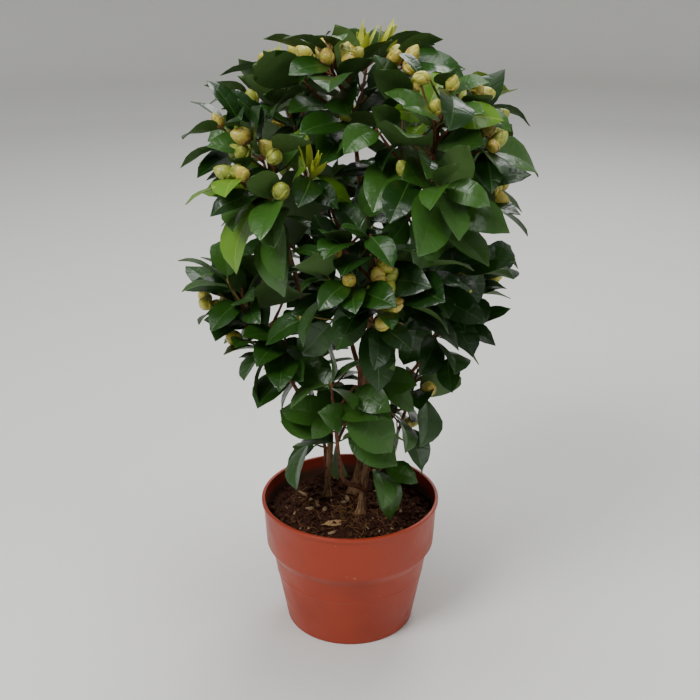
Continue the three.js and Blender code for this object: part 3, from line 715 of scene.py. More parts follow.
def grow_foot_twigs(masses, stems, limbs, bud_middles, taken):
    """Short twigs near the stems' feet, with a few leaves each, once everything else has grown."""
    for index, (name, stem, height, azimuth, rise) in enumerate(FOOT_TWIGS):
        mass = next(m for m in masses if m["name"] == name)
        draw = draws_from(FOOT_SEED + index)
        start, end = pruned_curve(stems[stem], height, azimuth, rise, 1.0, 2)
        twig = grow_twig(
            mass, limbs, start, end - start, FOOT_TWIG_LENGTH, FINE_TWIG_RADII, TWIG_SEGMENTS,
            FOOT_TWIG_ROOM,
        )
        if twig:
            mass["fine_twigs"].append(twig)
            taken = grow_leaves(
                mass, limbs, [twig], [len(mass["twigs"])], bud_middles, taken, FOOT_SPACING, FOOT_ROOM,
                FOOT_LEAF_SIZE, draw,
            )


def grow_plant():
    """Grows the whole plant: the limbs, each mass by the source's rule, and then the finer growth."""
    masses = crown_masses()
    share_space(masses)
    stems = {name: stem_path(stem) for name, stem in STEMS.items()}
    limb_of = {}
    for name, stem in STEMS.items():
        mass = next(m for m in masses if m["name"] == stem["leads_to"])
        mass["entry"] = stems[name]["points"][-1]
        mass["growth"] = tangents_of(stems[name]["points"])[-1]
        limb_of[mass["name"]] = stems[name]
    for mass in masses:
        if mass["name"] in BOUGH_STEMS:
            curve = bough_curve(stems[BOUGH_STEMS[mass["name"]]], mass, BOUGH_RINGS)
            limb_of[mass["name"]] = path_of(curve, even_radii(BOUGH_RADII, BOUGH_RINGS))
    pruned = [
        path_of(pruned_curve(stems[stem], *form, PRUNED_RINGS), even_radii(radii, PRUNED_RINGS))
        for _, stem, *form, radii in PRUNED_ENDS
    ]
    paths = [*limb_of.values(), *pruned]
    limbs = segments_of(paths)
    taken = []
    for index, mass in enumerate(masses):
        others = segments_of([path for path in paths if path is not limb_of[mass["name"]]])
        taken.append(grow_mass(mass, index, limbs, others))
    taken = np.vstack(taken)
    bud_middles = np.array([bud["middle"] for mass in masses for bud in mass["buds"]])
    for index, mass in enumerate(masses):
        bud_middles, taken = grow_finer(mass, index, limbs, bud_middles, taken)
    grow_foot_twigs(masses, stems, limbs, bud_middles, taken)
    return {"masses": masses, "stems": stems}


# Drawn meshes. A surface is its points in millimetres, its faces of four corners, or three and a -1, and
# the kind of finish of each face.
TUBE_ROUNDING = 0.6
# Points nearer than this, in metres, are joined where a piece's surfaces meet.
MERGE_DISTANCE = 1e-6
# Waves: how many sines they are made of, and how much shorter or longer these may be.
WAVE_COUNT = 7
WAVE_SPREAD = (0.6, 1.7)

# Seeds of the drawn pieces' own random spreads
PEAT_SEED = 41
CRUMB_SEED = 43
FIBRE_SEED = 44
TWIG_SEED = 45
LEAF_SEED = 46
BUD_SEED = 47
STEM_SEED = 51
PRUNED_SEED = 61
BOUGH_SEED = 71

PLANT = {}


def grown_plant():
    """The plant, grown once for all the operators that draw from it."""
    if not PLANT:
        PLANT.update(grow_plant())
    return PLANT


def grid_faces(rows, columns):
    """Faces between rows of points that close round, outwards if the rows turn left about their run."""
    row, column = np.mgrid[0 : rows - 1, 0:columns]
    here = row * columns + column
    beside = row * columns + (column + 1) % columns
    return np.stack([here, beside, beside + columns, here + columns], axis=-1).reshape(-1, 4)


def bands(rings, kinds=0):
    """Surfaces over rings of points: (surfaces, rings, columns, 3), with kinds that match their faces."""
    count, rows, columns, _ = rings.shape
    faces = grid_faces(rows, columns) + np.arange(count)[:, None, None] * rows * columns
    kinds = np.broadcast_to(kinds, (count, rows - 1, columns))
    return {"points": rings.reshape(-1, 3), "faces": faces.reshape(-1, 4), "kinds": kinds.ravel()}


def lofts(rings, poles, kinds=0, end_kinds=None):
    """Closed surfaces over rings of points, each closed at both ends by a fan to its pole.

    Rings are (surfaces, rings, columns, 3) and poles (surfaces, 2, 3). Kinds match the faces between the
    rings, and the fans take the kinds next to them unless they have their own.
    """
    count, rows, columns, _ = rings.shape
    here = np.arange(columns)
    beside = (here + 1) % columns
    last = (rows - 1) * columns
    pole = np.full(columns, rows * columns)
    none = np.full(columns, -1)
    foot = np.stack([beside, here, pole, none], axis=-1)
    tip = np.stack([last + here, last + beside, pole + 1, none], axis=-1)
    faces = np.vstack([grid_faces(rows, columns), foot, tip])
    points = np.concatenate([rings.reshape(count, -1, 3), poles], axis=1)
    starts = np.arange(count)[:, None, None] * points.shape[1]
    faces = np.where(faces < 0, -1, faces + starts)
    kinds = np.broadcast_to(kinds, (count, rows - 1, columns))
    ends = kinds[:, [0, -1]] if end_kinds is None else np.broadcast_to(end_kinds, (count, 2, columns))
    kinds = np.concatenate([kinds.reshape(count, -1), ends.reshape(count, -1)], axis=1)
    return {"points": points.reshape(-1, 3), "faces": faces.reshape(-1, 4), "kinds": kinds.ravel()}


def tubes(points, radii, sides, rounding=TUBE_ROUNDING, kinds=0, end_kinds=None):
    """Closed tubes along paths: at each point a circle of the radius there, square to the path.

    Points are (paths, points, 3) and radii (paths, points) or one for each side too. A circle starts from
    a direction at right angles to the path's whole run. The ends are rounded by a share of their radius.
    """
    run = unit(points[:, -1] - points[:, 0])
    reference = np.where(np.abs(run[:, 2:]) < NEARLY_UPRIGHT, UP, SIDEWAYS)
    first = unit(np.cross(reference, run))[:, None]
    tangents = unit(np.gradient(points, axis=1))
    first = unit(first - tangents * np.sum(first * tangents, axis=-1, keepdims=True))
    second = np.cross(tangents, first)
    angle = circle(sides)
    ways = first[:, :, None] * np.cos(angle)[:, None] + second[:, :, None] * np.sin(angle)[:, None]
    radii = np.broadcast_to(radii if np.ndim(radii) == 3 else radii[..., None], ways.shape[:3])
    rings = points[:, :, None] + ways * radii[..., None]
    bulge = rounding * radii.mean(axis=2)
    poles = np.stack([
        points[:, 0] - tangents[:, 0] * bulge[:, :1],
        points[:, -1] + tangents[:, -1] * bulge[:, -1:],
    ], axis=1)
    return lofts(rings, poles, kinds, end_kinds)


def waves(places, seed, shares_and_lengths):
    """Smooth uneven relief: for each share and length, that share of some sines in random directions."""
    relief = 0
    for k, (share, wavelength) in enumerate(shares_and_lengths):
        rng = np.random.default_rng(seed + k)
        ways = unit(rng.normal(size=(WAVE_COUNT, 3))) * rng.uniform(*WAVE_SPREAD, (WAVE_COUNT, 1))
        phases = rng.uniform(0, FULL_TURN, WAVE_COUNT)
        sines = np.sin(places @ ways.T * (FULL_TURN / wavelength) + phases)
        relief = relief + share * (sines.sum(axis=-1) / math.sqrt(WAVE_COUNT))
    return relief


def make_piece(name, surfaces, finishes, replaced, merge=False):
    """Puts surfaces into one mesh object, in metres, that rides on the root and replaces CAD nodes.

    What replaces no node belongs to the stage, and rides on nothing.
    """
    starts = np.cumsum([0, *(len(surface["points"]) for surface in surfaces)])
    points = np.vstack([surface["points"] for surface in surfaces]) * METRES
    faces = np.vstack([
        np.where(surface["faces"] < 0, -1, surface["faces"] + start)
        for surface, start in zip(surfaces, starts)
    ])
    corners = faces[faces >= 0]
    counts = np.where(faces[:, 3] < 0, 3, 4)
    mesh = bpy.data.meshes.new(name)
    mesh.vertices.add(len(points))
    mesh.vertices.foreach_set("co", points.astype(np.float32).ravel())
    mesh.loops.add(len(corners))
    mesh.loops.foreach_set("vertex_index", corners.astype(np.int32))
    mesh.polygons.add(len(faces))
    mesh.polygons.foreach_set("loop_start", (np.cumsum(counts) - counts).astype(np.int32))
    kinds = np.hstack([surface["kinds"] for surface in surfaces])
    mesh.polygons.foreach_set("material_index", kinds.astype(np.int32))
    mesh.polygons.foreach_set("use_smooth", np.ones(len(faces), bool))
    mesh.update(calc_edges=True)
    if mesh.validate():
        raise RuntimeError(f"{name} has faces that don't close properly")
    if all("uv" in surface for surface in surfaces):
        uv = np.vstack([surface["uv"] for surface in surfaces])
        mesh.uv_layers.new(name="UVMap").data.foreach_set("uv", uv[corners].astype(np.float32).ravel())
    if all("rim" in surface for surface in surfaces):
        rim = np.hstack([surface["rim"] for surface in surfaces])
        ends = np.empty(2 * len(mesh.edges), np.int32)
        mesh.edges.foreach_get("vertices", ends)
        mesh.edges.foreach_set("use_edge_sharp", rim[ends].reshape(-1, 2).all(axis=1))
    if merge:
        joined = bmesh.new()
        joined.from_mesh(mesh)
        bmesh.ops.remove_doubles(joined, verts=joined.verts, dist=MERGE_DISTANCE)
        bmesh.ops.recalc_face_normals(joined, faces=joined.faces)
        joined.to_mesh(mesh)
        joined.free()
    for finish in finishes:
        mesh.materials.append(finish)
    piece = bpy.data.objects.new(name, mesh)
    bpy.context.scene.collection.objects.link(piece)
    if replaced:
        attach(piece, "root")
        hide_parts(*replaced)
    return piece


# Pot. Its floor is cut into sectors between two rings, each with a drain hole, and a fine raised ring runs
# round its wall at a height, by steps of its width, the inner ones risen.
POT_SECTOR = 20
POT_COLUMNS = DRAIN_HOLES * POT_SECTOR
SECTOR_SIDE = 3
FLOOR_RINGS = (36.0, 52.0)
RING_HEIGHT = 54.0
RING_WIDTH = 1.6
RING_RISE = 0.35
RING_STEPS = ((-1, 0), (-0.4, RING_RISE), (0.4, RING_RISE), (1, 0))
FOOT_CORNER = (0.2, 0.3)
LIP_EDGE = 0.5
# How much each corner of the pot's outline is cut back for its rounding.
POT_ROUNDING = [2.0, 0.2, 0.3, 0.2, 0.2, 0.3, 0.8, 0.8, 0.4, 0.4, 1.1, 0.6, 1.0, 1.0, 1.0]
ROUNDING_ROWS = 5
# Rows from a sector's border to its hole and back: the share of the way, and below (0) or above (1).
HOLE_ROWS = np.array([(0, 0), (0.6, 0), (1, 0), (1, 1), (0.6, 1), (0, 1)])
# The inside's finish starts this many rows past the highest.
LIP_ROWS = 2
# Kinds of the pot's faces. The inside's finish is the plastic darkened, painted shade for the shadow inside
# the pot.
OUTSIDE, INSIDE = 0, 1


def pot_wall(inset):
    """The pot's outside as radius and height, from under the lip to the foot, moved inwards."""
    collar_top = RIM_RADIUS - LIP_OVERHANG - inset
    collar_foot = collar_top - COLLAR_TAPER
    step_top = POT_HEIGHT - COLLAR_HEIGHT
    return np.array([
        (collar_top, POT_HEIGHT - LIP_HEIGHT),
        (collar_foot, step_top),
        (collar_foot - STEP_INSET, step_top - STEP_HEIGHT),
        (FOOT_RADIUS - inset, FOOT_ROUND),
    ])


def pot_radius(height, inset):
    """The wall's radius at a height, moved inwards by an inset."""
    wall = pot_wall(inset)[::-1]
    return np.interp(height, wall[:, 1], wall[:, 0])


def rounded(corners, radii, count=ROUNDING_ROWS):
    """A line through corners, each cut short by its radius and rounded by a parabola."""
    corners = np.array(corners, float)
    line = [corners[:1]]
    t = np.linspace(0, 1, count)[:, None]
    for before, corner, after, radius in zip(corners, corners[1:], corners[2:], radii):
        start = corner + unit(before - corner) * radius
        end = corner + unit(after - corner) * radius
        line.append((1 - t) ** 2 * start + 2 * t * (1 - t) * corner + t**2 * end)
    return np.vstack([*line, corners[-1:]])


def turned(line, columns):
    """Rings of points from a line of radii and heights, turned about the pot's axis."""
    angle = circle(columns)
    radius, height = line[:, :1], line[:, 1:]
    return np.stack([radius * np.cos(angle), radius * np.sin(angle), height + 0 * angle], axis=-1)


def pot_surfaces():
    """The pot: a rounded outline turned about its axis, and a floor of sectors, each with its hole.

    A sector's points run from its border to the hole's circle, each straight towards the hole's centre.
    """
    outside, inside = pot_wall(0)[::-1], pot_wall(POT_WALL)
    heights = [(RING_HEIGHT + step * RING_WIDTH, rise) for step, rise in RING_STEPS]
    ring = [(pot_radius(height, 0) + rise, height) for height, rise in heights]
    inner, outer = FLOOR_RINGS
    line = rounded([
        (outer, 0), (FOOT_RADIUS, 0), outside[0] + FOOT_CORNER, *ring, *outside[1:],
        (RIM_RADIUS, POT_HEIGHT - LIP_HEIGHT + LIP_EDGE), (RIM_RADIUS, POT_HEIGHT),
        (inside[0, 0], POT_HEIGHT), inside[1], inside[2],
        (pot_radius(FLOOR_THICKNESS, POT_WALL), FLOOR_THICKNESS), (outer, FLOOR_THICKNESS),
    ], POT_ROUNDING)
    top = int(np.argmax(line[:, 1]))
    kinds = np.where(np.arange(len(line) - 1) > top + LIP_ROWS, INSIDE, OUTSIDE)
    wall = bands(turned(line, POT_COLUMNS)[None], kinds[None, :, None])

    half = 180 / DRAIN_HOLES
    angle = np.radians(np.linspace(-half, half, POT_SECTOR + 1))
    arc = np.stack([np.cos(angle), np.sin(angle)], axis=-1)
    side = mix(outer, inner, np.linspace(0, 1, SECTOR_SIDE + 2)[1:-1, None])
    border = np.vstack([arc * outer, side * arc[-1], arc[::-1] * inner, side[::-1] * arc[0]])
    middle = np.array([DRAIN_CIRCLE, 0.0])
    hole = middle + unit(border - middle) * DRAIN_RADIUS
    flat = mix(border, hole, HOLE_ROWS[:, :1, None])
    height = HOLE_ROWS[:, 1:] * FLOOR_THICKNESS
    turn = circle(DRAIN_HOLES)[:, None, None]
    x = flat[..., 0] * np.cos(turn) - flat[..., 1] * np.sin(turn)
    y = flat[..., 0] * np.sin(turn) + flat[..., 1] * np.cos(turn)
    sectors = bands(np.stack([x, y, np.broadcast_to(height, x.shape)], axis=-1))

    discs = [
        bands(turned(np.array([(inner, z), (inner / 2, z), (0.0, z)]), POT_COLUMNS)[None])
        for z in (0, FLOOR_THICKNESS)
    ]
    return [wall, sectors, *discs]


# Peat. Its lumps are waves, each with its share and length.
SIDE_GAP = 0.35
PEAT_COLUMNS = 110
PEAT_RINGS = 34
PEAT_CROWDING = 1.1
EDGE_DEPTH = 2
LUMP_WAVES = ((0.6, 19), (0.4, 7))
DARK_CRUMB, BROWN_CRUMB, FIBRE, CHIP, DRY = range(5)

# Crumbs and chips: how many, how far they keep from the edge, and the forms and random spreads of both.
CRUMBS = 850
CHIPS = 34
DARK_CRUMBS = 0.7
CRUMB_MARGIN = 3
CRUMB_SPREAD = (0.45, 1.0)
CHIP_SIZE = 1.3
CRUMB_CORNERS = 5
CRUMB_RING = (0.9, 0.45)
CRUMB_MOVES = (0.7, 1.25)
CRUMB_FORM = (1.0, 0.85, 0.7)
CHIP_FORM = (1.5, 0.7, 0.35)
CRUMB_TILT = (1, 0.35, 0.35, 1)
CRUMB_LIFT = 0.35

# Fibres
FIBRES = 210
FIBRE_MARGIN = 12
FIBRE_EDGE = 1
FIBRE_POINTS = 6
FIBRE_SIDES = 4
FIBRE_LENGTHS = (6, 19)
FIBRE_BEND = 0.4
FIBRE_HUMPS = (0.2, 2.6)
FIBRE_LIFT = (-0.2, 0.7)
FIBRE_RADII = (0.22, 0.5)


def soil_height(x, y):
    """The soil's surface: its highest level less the source's dip, which is none round a stem's foot."""
    from_feet = np.min([
        np.hypot(x - stem["points"][0][0], y - stem["points"][0][1]) for stem in STEMS.values()
    ], axis=0)
    swell = 0.5 + 0.5 * np.sin(x / SOIL_LUMP + 1) * np.cos(y / SOIL_LUMP)
    return SOIL_TOP - SOIL_DIP * swell * smooth(*LEVEL_REACH, from_feet)


def peat_height(x, y, lump):
    """The peat's drawn surface: the soil's surface with lumps of two sizes on it."""
    places = np.stack([x, y, 0 * x], axis=-1)
    return soil_height(x, y) + lump * waves(places, PEAT_SEED, LUMP_WAVES)


def peat_surface(lump):
    """The peat: rings up the pot's wall from below, then rings that shrink to the middle of its top."""
    inset = POT_WALL + SIDE_GAP
    floor = FLOOR_THICKNESS + GAP
    corners = pot_wall(inset)[2:0:-1]
    edge = pot_radius(SOIL_TOP, inset)
    shoulder = (edge, SOIL_TOP - SOIL_DIP - EDGE_DEPTH)
    wall = np.vstack([(pot_radius(floor, inset), floor), corners, shoulder])
    shares = 1 - np.linspace(0, 1, PEAT_RINGS + 1)[:-1] ** PEAT_CROWDING
    top = turned(np.stack([edge * shares, np.full(PEAT_RINGS, SOIL_TOP)], axis=-1), PEAT_COLUMNS)
    top[..., 2] = peat_height(top[..., 0], top[..., 1], lump)
    rings = np.concatenate([turned(wall, PEAT_COLUMNS), top])
    middle = peat_height(np.zeros(1), np.zeros(1), lump)[0]
    return lofts(rings[None], np.array([[(0, 0, floor), (0, 0, middle)]], float))


def scattered(rng, count, reach):
    """Places spread evenly over a disc: the radius is the root of an even share."""
    radius = reach * np.sqrt(rng.uniform(0, 1, count))
    angle = rng.uniform(0, FULL_TURN, count)
    return radius * np.cos(angle), radius * np.sin(angle)


def crumb_surfaces(lump, size):
    """Crumbs of peat and pale chips: two rings and two poles, each point moved at random, then all turned.

    A turn adds to each place twice the axis crossed with it, times the quaternion's first number, and twice
    the axis crossed with that cross product.
    """
    rng = np.random.default_rng(CRUMB_SEED)
    count = CRUMBS + CHIPS
    edge = pot_radius(SOIL_TOP, POT_WALL + SIDE_GAP)
    x, y = scattered(rng, count, edge - CRUMB_MARGIN)
    chip = np.arange(count) >= CRUMBS
    radius = size * rng.uniform(*CRUMB_SPREAD, count) ** 2 * np.where(chip, CHIP_SIZE, 1.0)
    angle = FULL_TURN * (np.arange(CRUMB_CORNERS) + np.array([[0], [0.5]])) / CRUMB_CORNERS
    wide, high = CRUMB_RING
    level = np.array([[-high], [high]]) + 0 * angle
    ring = np.stack([wide * np.cos(angle), wide * np.sin(angle), level], axis=-1)
    shape = np.concatenate([ring.reshape(-1, 3), [(0, 0, -1), (0, 0, 1)]])
    form = np.where(chip[:, None], CHIP_FORM, CRUMB_FORM) * radius[:, None]
    places = shape * rng.uniform(*CRUMB_MOVES, (count, len(shape), 1)) * form[:, None]
    turn = unit(rng.normal(size=(count, 4)) * CRUMB_TILT)
    axis = np.broadcast_to(turn[:, None, 1:], places.shape)
    cross = np.cross(axis, places)
    places = places + 2 * (turn[:, :1, None] * cross + np.cross(axis, cross))
    middle = np.stack([x, y, peat_height(x, y, lump) + CRUMB_LIFT * radius], axis=-1)
    places = places + middle[:, None]
    shade = np.where(rng.uniform(0, 1, count) < DARK_CRUMBS, DARK_CRUMB, BROWN_CRUMB)
    kinds = np.where(chip, CHIP, shade)[:, None, None]
    return lofts(places[:, :-2].reshape(count, 2, CRUMB_CORNERS, 3), places[:, -2:], kinds)


def fibre_surfaces(lump):
    """Fibres: thin tubes along parabolas that bend sideways on the peat, most of them near its middle."""
    rng = np.random.default_rng(FIBRE_SEED)
    edge = pot_radius(SOIL_TOP, POT_WALL + SIDE_GAP)
    x, y = scattered(rng, FIBRES, edge - FIBRE_MARGIN)
    x, y = x * np.hypot(x, y) / edge, y * np.hypot(x, y) / edge
    t = np.linspace(-0.5, 0.5, FIBRE_POINTS)
    heading = rng.uniform(0, FULL_TURN, (FIBRES, 1))
    length = rng.uniform(*FIBRE_LENGTHS, (FIBRES, 1))
    bend = rng.uniform(-FIBRE_BEND, FIBRE_BEND, (FIBRES, 1)) * length
    across = bend * (4 * t**2 - 1)
    px = x[:, None] + np.cos(heading) * length * t - np.sin(heading) * across
    py = y[:, None] + np.sin(heading) * length * t + np.cos(heading) * across
    inside = np.minimum(1, (edge - FIBRE_EDGE) / np.maximum(np.hypot(px, py), 1))
    px, py = px * inside, py * inside
    rise = rng.uniform(*FIBRE_HUMPS, (FIBRES, 1)) * (1 - 4 * t**2)
    rise = rise + rng.uniform(*FIBRE_LIFT, (FIBRES, 1))
    points = np.stack([px, py, peat_height(px, py, lump) + rise], axis=-1)
    radii = rng.uniform(*FIBRE_RADII, (FIBRES, 1)) * (1 - 0.5 * np.abs(2 * t) ** 3)
    return tubes(points, radii, FIBRE_SIDES, kinds=FIBRE)


# Bark
LIMB_SIDES = 16
STEM_DRAWN = 84
BOUGH_DRAWN = 40
STEM_SUNK = 2.0
BARK, CUT_WOOD = 0, 1
# Swollen nodes: how far apart and how uneven, how much they swell, over what length, and more on a side.
NODE_SPACING = 23.0
NODE_SPREAD = (0.85, 1.15)
NODE_SWELL = 0.1
NODE_LENGTH = 2.2
NODE_SIDE = 0.8
# The bark's waves, each with its share and length, and the girth at which they are taken.
BARK_WAVES = ((0.05, 11), (0.025, 3.5))
BARK_GIRTH = 2.2
COLLAR_SWELL = 0.35
COLLAR_LENGTH = 5.5
# Lobes of a root flare: how many go round, how much they swell, and how they turn with the seed.
LOBES = ((3, 0.22, 1), (5, 0.1, 2))
SUNK_SWELL = 1.05
STEM_ROUNDING = 0.2
BOUGH_ROUNDING = 0.5
CUT_ROUNDING = 0.08
# The last two rings of a cut end, as shares of their radii.
CUT_RADII = np.array([[1.04], [0.93]])


def bark_radii(points, radii, seed, collar=0.0):
    """Radii for each side of a limb: uneven waves, swollen nodes where leaves once stood, and a collar."""
    run = np.linalg.norm(np.diff(points, axis=0), axis=1)
    along = np.hstack([0, np.cumsum(run)])[:, None]
    angle = circle(LIMB_SIDES)
    rng = np.random.default_rng(seed)
    spacing = NODE_SPACING * rng.uniform(*NODE_SPREAD)
    phase = (along / spacing + rng.uniform(0, 1)) % 1 - 0.5
    turn = np.floor(along / spacing) * GOLDEN_ANGLE
    node = NODE_SWELL * np.exp(-((phase * spacing / NODE_LENGTH) ** 2))
    node = node * (1 + NODE_SIDE * np.cos(angle - turn))
    ring = np.stack([np.cos(angle), np.sin(angle), 0 * angle], axis=-1)
    uneven = waves(ring * BARK_GIRTH + along[..., None] * UP, seed, BARK_WAVES)
    swell = collar * np.exp(-along / COLLAR_LENGTH)
    return radii[:, None] * (1 + node + uneven + swell)


def stem_surface(stem, path, seed):
    """A stem from its sunken foot to its tip, with lobes in its root flare, on the source's path.

    The path's second point, which only ends the source's flare, is left out.
    """
    points = through_points(path["points"][[0, *range(2, len(path["points"]))]], STEM_DRAWN)
    radii = even_radii(stem["radii"], STEM_DRAWN)
    rise = np.clip((points[:, 2] - SOIL_TOP) / FLARE_HEIGHT, 0, 1)
    angle = circle(LIMB_SIDES)
    lobes = 1 + sum(swell * np.cos(count * angle + turn * seed) for count, swell, turn in LOBES)
    flare = (ROOT_FLARE - 1) * (1 - rise[:, None]) ** 2 * lobes
    drawn = bark_radii(points, radii, seed) * (1 + flare)
    points = np.vstack([points[0] - UP * STEM_SUNK, points])
    drawn = np.vstack([drawn[0] * SUNK_SWELL, drawn])
    return tubes(points[None], drawn[None], LIMB_SIDES, STEM_ROUNDING)


def limb_surface(curve, radii, seed, cut):
    """A bough or pruned end from inside its stem to its tip, with a collar where it leaves."""
    drawn = bark_radii(curve, even_radii(radii, len(curve)), seed, COLLAR_SWELL)
    rounding = CUT_ROUNDING if cut else BOUGH_ROUNDING
    if cut:
        drawn[-2:] *= CUT_RADII
    end_kinds = np.array([BARK, CUT_WOOD if cut else BARK])[None, :, None]
    return tubes(curve[None], drawn[None], LIMB_SIDES, rounding, end_kinds=end_kinds)


# Twigs: their points and sides, the shares of the coarse and fine ones that are green, and their swelling
# from point to point.
TWIG_DRAWN = 10
TWIG_SIDES = 7
GREEN_TWIGS = (0.15, 0.45)
TWIG_SWELL = 0.12
TWIG_PHASE = 2.1


def twig_surfaces(plant):
    """All twigs: smooth tubes through their points, red-brown or greener, the youngest the greenest."""
    points, radii, kinds = [], [], []
    rng = np.random.default_rng(TWIG_SEED)
    for mass in plant["masses"]:
        for twig in [*mass["twigs"], *mass["fine_twigs"]]:
            fine = twig["radii"][0] < TWIG_RADII[0]
            points.append(through_points(twig["points"], TWIG_DRAWN))
            radii.append(even_radii(twig["radii"][[0, -1]], TWIG_DRAWN))
            kinds.append(int(rng.uniform() < GREEN_TWIGS[int(fine)]))
    swell = 1 + TWIG_SWELL * np.sin(np.arange(TWIG_DRAWN) * TWIG_PHASE)
    kinds = np.array(kinds)[:, None, None]
    return tubes(np.array(points), np.array(radii) * swell, TWIG_SIDES, kinds=kinds)


# Leaves. A drawn leaf's rows run from its stalk to just short of its tip. Round a row lie the right edge,
# the right half's middle, the two sides of the rib, the left half's middle, the left edge and the back.
STALK_SHARE = 0.09
STALK_RADIUS = 0.75
STALK_START = 0.02
STALK_BODY = 0.7
BLADE_ROWS = np.array([0.0, 0.05, 0.13, 0.25, 0.39, 0.54, 0.68, 0.8, 0.9, 0.965])
BLADE_OUTLINE = (0.86, 0.72)
# The outline is drawn out to a point: by how much, and between which shares of its length.
BLADE_POINT = (0.42, 0.8, 0.98)
LEAF_COLUMNS = 7
EDGES = (0, 5)
HALF_MIDDLE = 0.55
# How far each column lies above the blade's middle layer, as a share of half its thickness.
BODY_LEVELS = np.array([0, 1, 0.75, 0.75, 1, 0, -1.3])
RIB_TAPER = 0.6
# Random spreads: of the arch across a half, the edges' waves, the turn about the rib, the tip's curl and
# the sway sideways, the last two as shares of the length.
BULGES = (0.06, 0.24)
EDGE_WAVES = (0.02, 0.1)
EDGE_PHASE = 9
TWISTS = (-0.42, 0.42)
CURLS = (-0.01, 0.09)
CURL_SPAN = (0.6, 1)
SWAYS = (-0.1, 0.1)
RIB = 2
LEAF_KINDS = ["dark", "deep", "mid", "fresh", "young", "bract"]
PLAIN_KINDS = (4, 5)
RIB_KIND, FRESH_RIB_KIND, BACK_KIND, FRESH_BACK_KIND = 6, 7, 8, 9
# Shares of the sprays up to each green but the last. A spray's seed is the first one, plus some for each
# mass before its own, plus its number there.
SPRAY_SHARES = (0.4, 0.74, 0.93)
SPRAY_SEED = 5200
MASS_SEEDS = 40
SHOOT_SEED = 8200


def blade_half_width(share):
    """A blade's half width as a share of its full width: a sine's power that is drawn out to a point."""
    outline = np.sin(np.pi * share ** BLADE_OUTLINE[0]) ** BLADE_OUTLINE[1]
    narrowing, start, end = BLADE_POINT
    return 0.5 * outline * (1 - narrowing * smooth(start, end, share))


def leaf_surfaces(leaves, kinds, thickness, rib_width):
    """Drawn leaves on the source's arcs.

    Across a half, the blade rises by a share of the distance from the rib, less a share of its square, so
    that it arches between rib and edge. Its edges wave along its length, the blade turns a little about
    its rib, its tip curls down, and it sways sideways by a share of the square of the length.
    """
    count = len(leaves["length"])
    rng = np.random.default_rng(LEAF_SEED)
    bulge = rng.uniform(*BULGES, count)[:, None, None]
    phase = rng.uniform(0, FULL_TURN, (count, 1, 2))
    wave = rng.uniform(*EDGE_WAVES, count)[:, None, None]
    twist = rng.uniform(*TWISTS, count)[:, None]
    curl = rng.uniform(*CURLS, count)[:, None] * leaves["length"][:, None]
    sway = rng.uniform(*SWAYS, count)[:, None] * leaves["length"][:, None]

    blade = STALK_SHARE + (1 - STALK_SHARE) * BLADE_ROWS
    along = np.hstack([STALK_START, blade])
    shares = np.hstack([0.0, BLADE_ROWS])
    half = np.maximum(leaves["width"][:, None] * blade_half_width(shares), STALK_RADIUS)
    middle, up = leaf_middles(leaves, along)
    middle = middle - up * (curl * smooth(*CURL_SPAN, along) ** 2)[..., None]
    flat = np.cross(leaves["normal"], leaves["direction"])
    middle = middle + flat[:, None] * (sway * along**2)[..., None]
    side = flat[:, None] + 0 * up
    turn = (twist * along)[..., None]
    side, up = side * np.cos(turn) + up * np.sin(turn), up * np.cos(turn) - side * np.sin(turn)

    rib = 0.5 * rib_width * (1 - RIB_TAPER * along) / half
    across = np.zeros((count, len(along), LEAF_COLUMNS))
    across[..., [0, 1, 4, 5]] = 1, HALF_MIDDLE, -HALF_MIDDLE, -1
    across[..., 2], across[..., 3] = rib, -rib
    spread = np.abs(across)
    rise = (math.sin(LEAF_FOLD) + bulge) * spread - bulge * spread**2
    angle = EDGE_PHASE * along[:, None] + np.where(across > 0, phase[..., :1], phase[..., 1:])
    rise = (rise + wave * np.sin(angle) * spread**2 * (shares > 0)[:, None]) * half[..., None]
    body = np.where(shares > 0, 0.5 * thickness, STALK_BODY * STALK_RADIUS)[:, None]
    rise = rise + body * BODY_LEVELS
    rings = middle[:, :, None] + side[:, :, None] * (across * half[..., None])[..., None]
    rings = rings + up[:, :, None] * rise[..., None]

    tip, tip_up = leaf_middles(leaves, np.ones(1))
    tip = tip[:, 0] - tip_up[:, 0] * curl + flat * sway
    root = leaves["root"] - leaves["direction"] * ROOT_DEPTH
    fresh = kinds >= LEAF_KINDS.index("fresh")
    columns = np.repeat(kinds[:, None], LEAF_COLUMNS, axis=1)
    ribs = np.where(fresh, FRESH_RIB_KIND, RIB_KIND)
    backs = np.where(fresh, FRESH_BACK_KIND, BACK_KIND)
    columns[:, RIB] = ribs
    columns[:, 5:] = backs[:, None]
    plain = np.isin(kinds, PLAIN_KINDS)[:, None]
    columns = np.where(plain, kinds[:, None], columns)
    face_kinds = np.repeat(columns[:, None], len(along) - 1, axis=1)
    face_kinds[:, 0] = np.where(plain, kinds[:, None], ribs[:, None])
    surface = lofts(rings, np.stack([root, tip], axis=1), face_kinds)
    u = np.broadcast_to(along[:, None], across.shape)
    uv = np.stack([u, 0.5 + 0.5 * across], axis=-1).reshape(count, -1, 2)
    ends = np.broadcast_to(np.array([(0.0, 0.5), (1.0, 0.5)]), (count, 2, 2))
    surface["uv"] = np.concatenate([uv, ends], axis=1).reshape(-1, 2)
    edge = np.tile(np.isin(np.arange(LEAF_COLUMNS), EDGES), len(along))
    surface["rim"] = np.tile(np.hstack([edge, False, False]), count)
    return surface


def leaf_arrays(leaves):
    """The forms of some leaves as arrays."""
    keys = ("root", "direction", "normal", "length", "width", "arch")
    return {key: np.array([leaf[key] for leaf in leaves], float) for key in keys}


def spray_kind(index, spray):
    """The kind of green of a spray, which is all the leaves of one twig."""
    return int(np.searchsorted(SPRAY_SHARES, draws_from(SPRAY_SEED + MASS_SEEDS * index + spray)()))


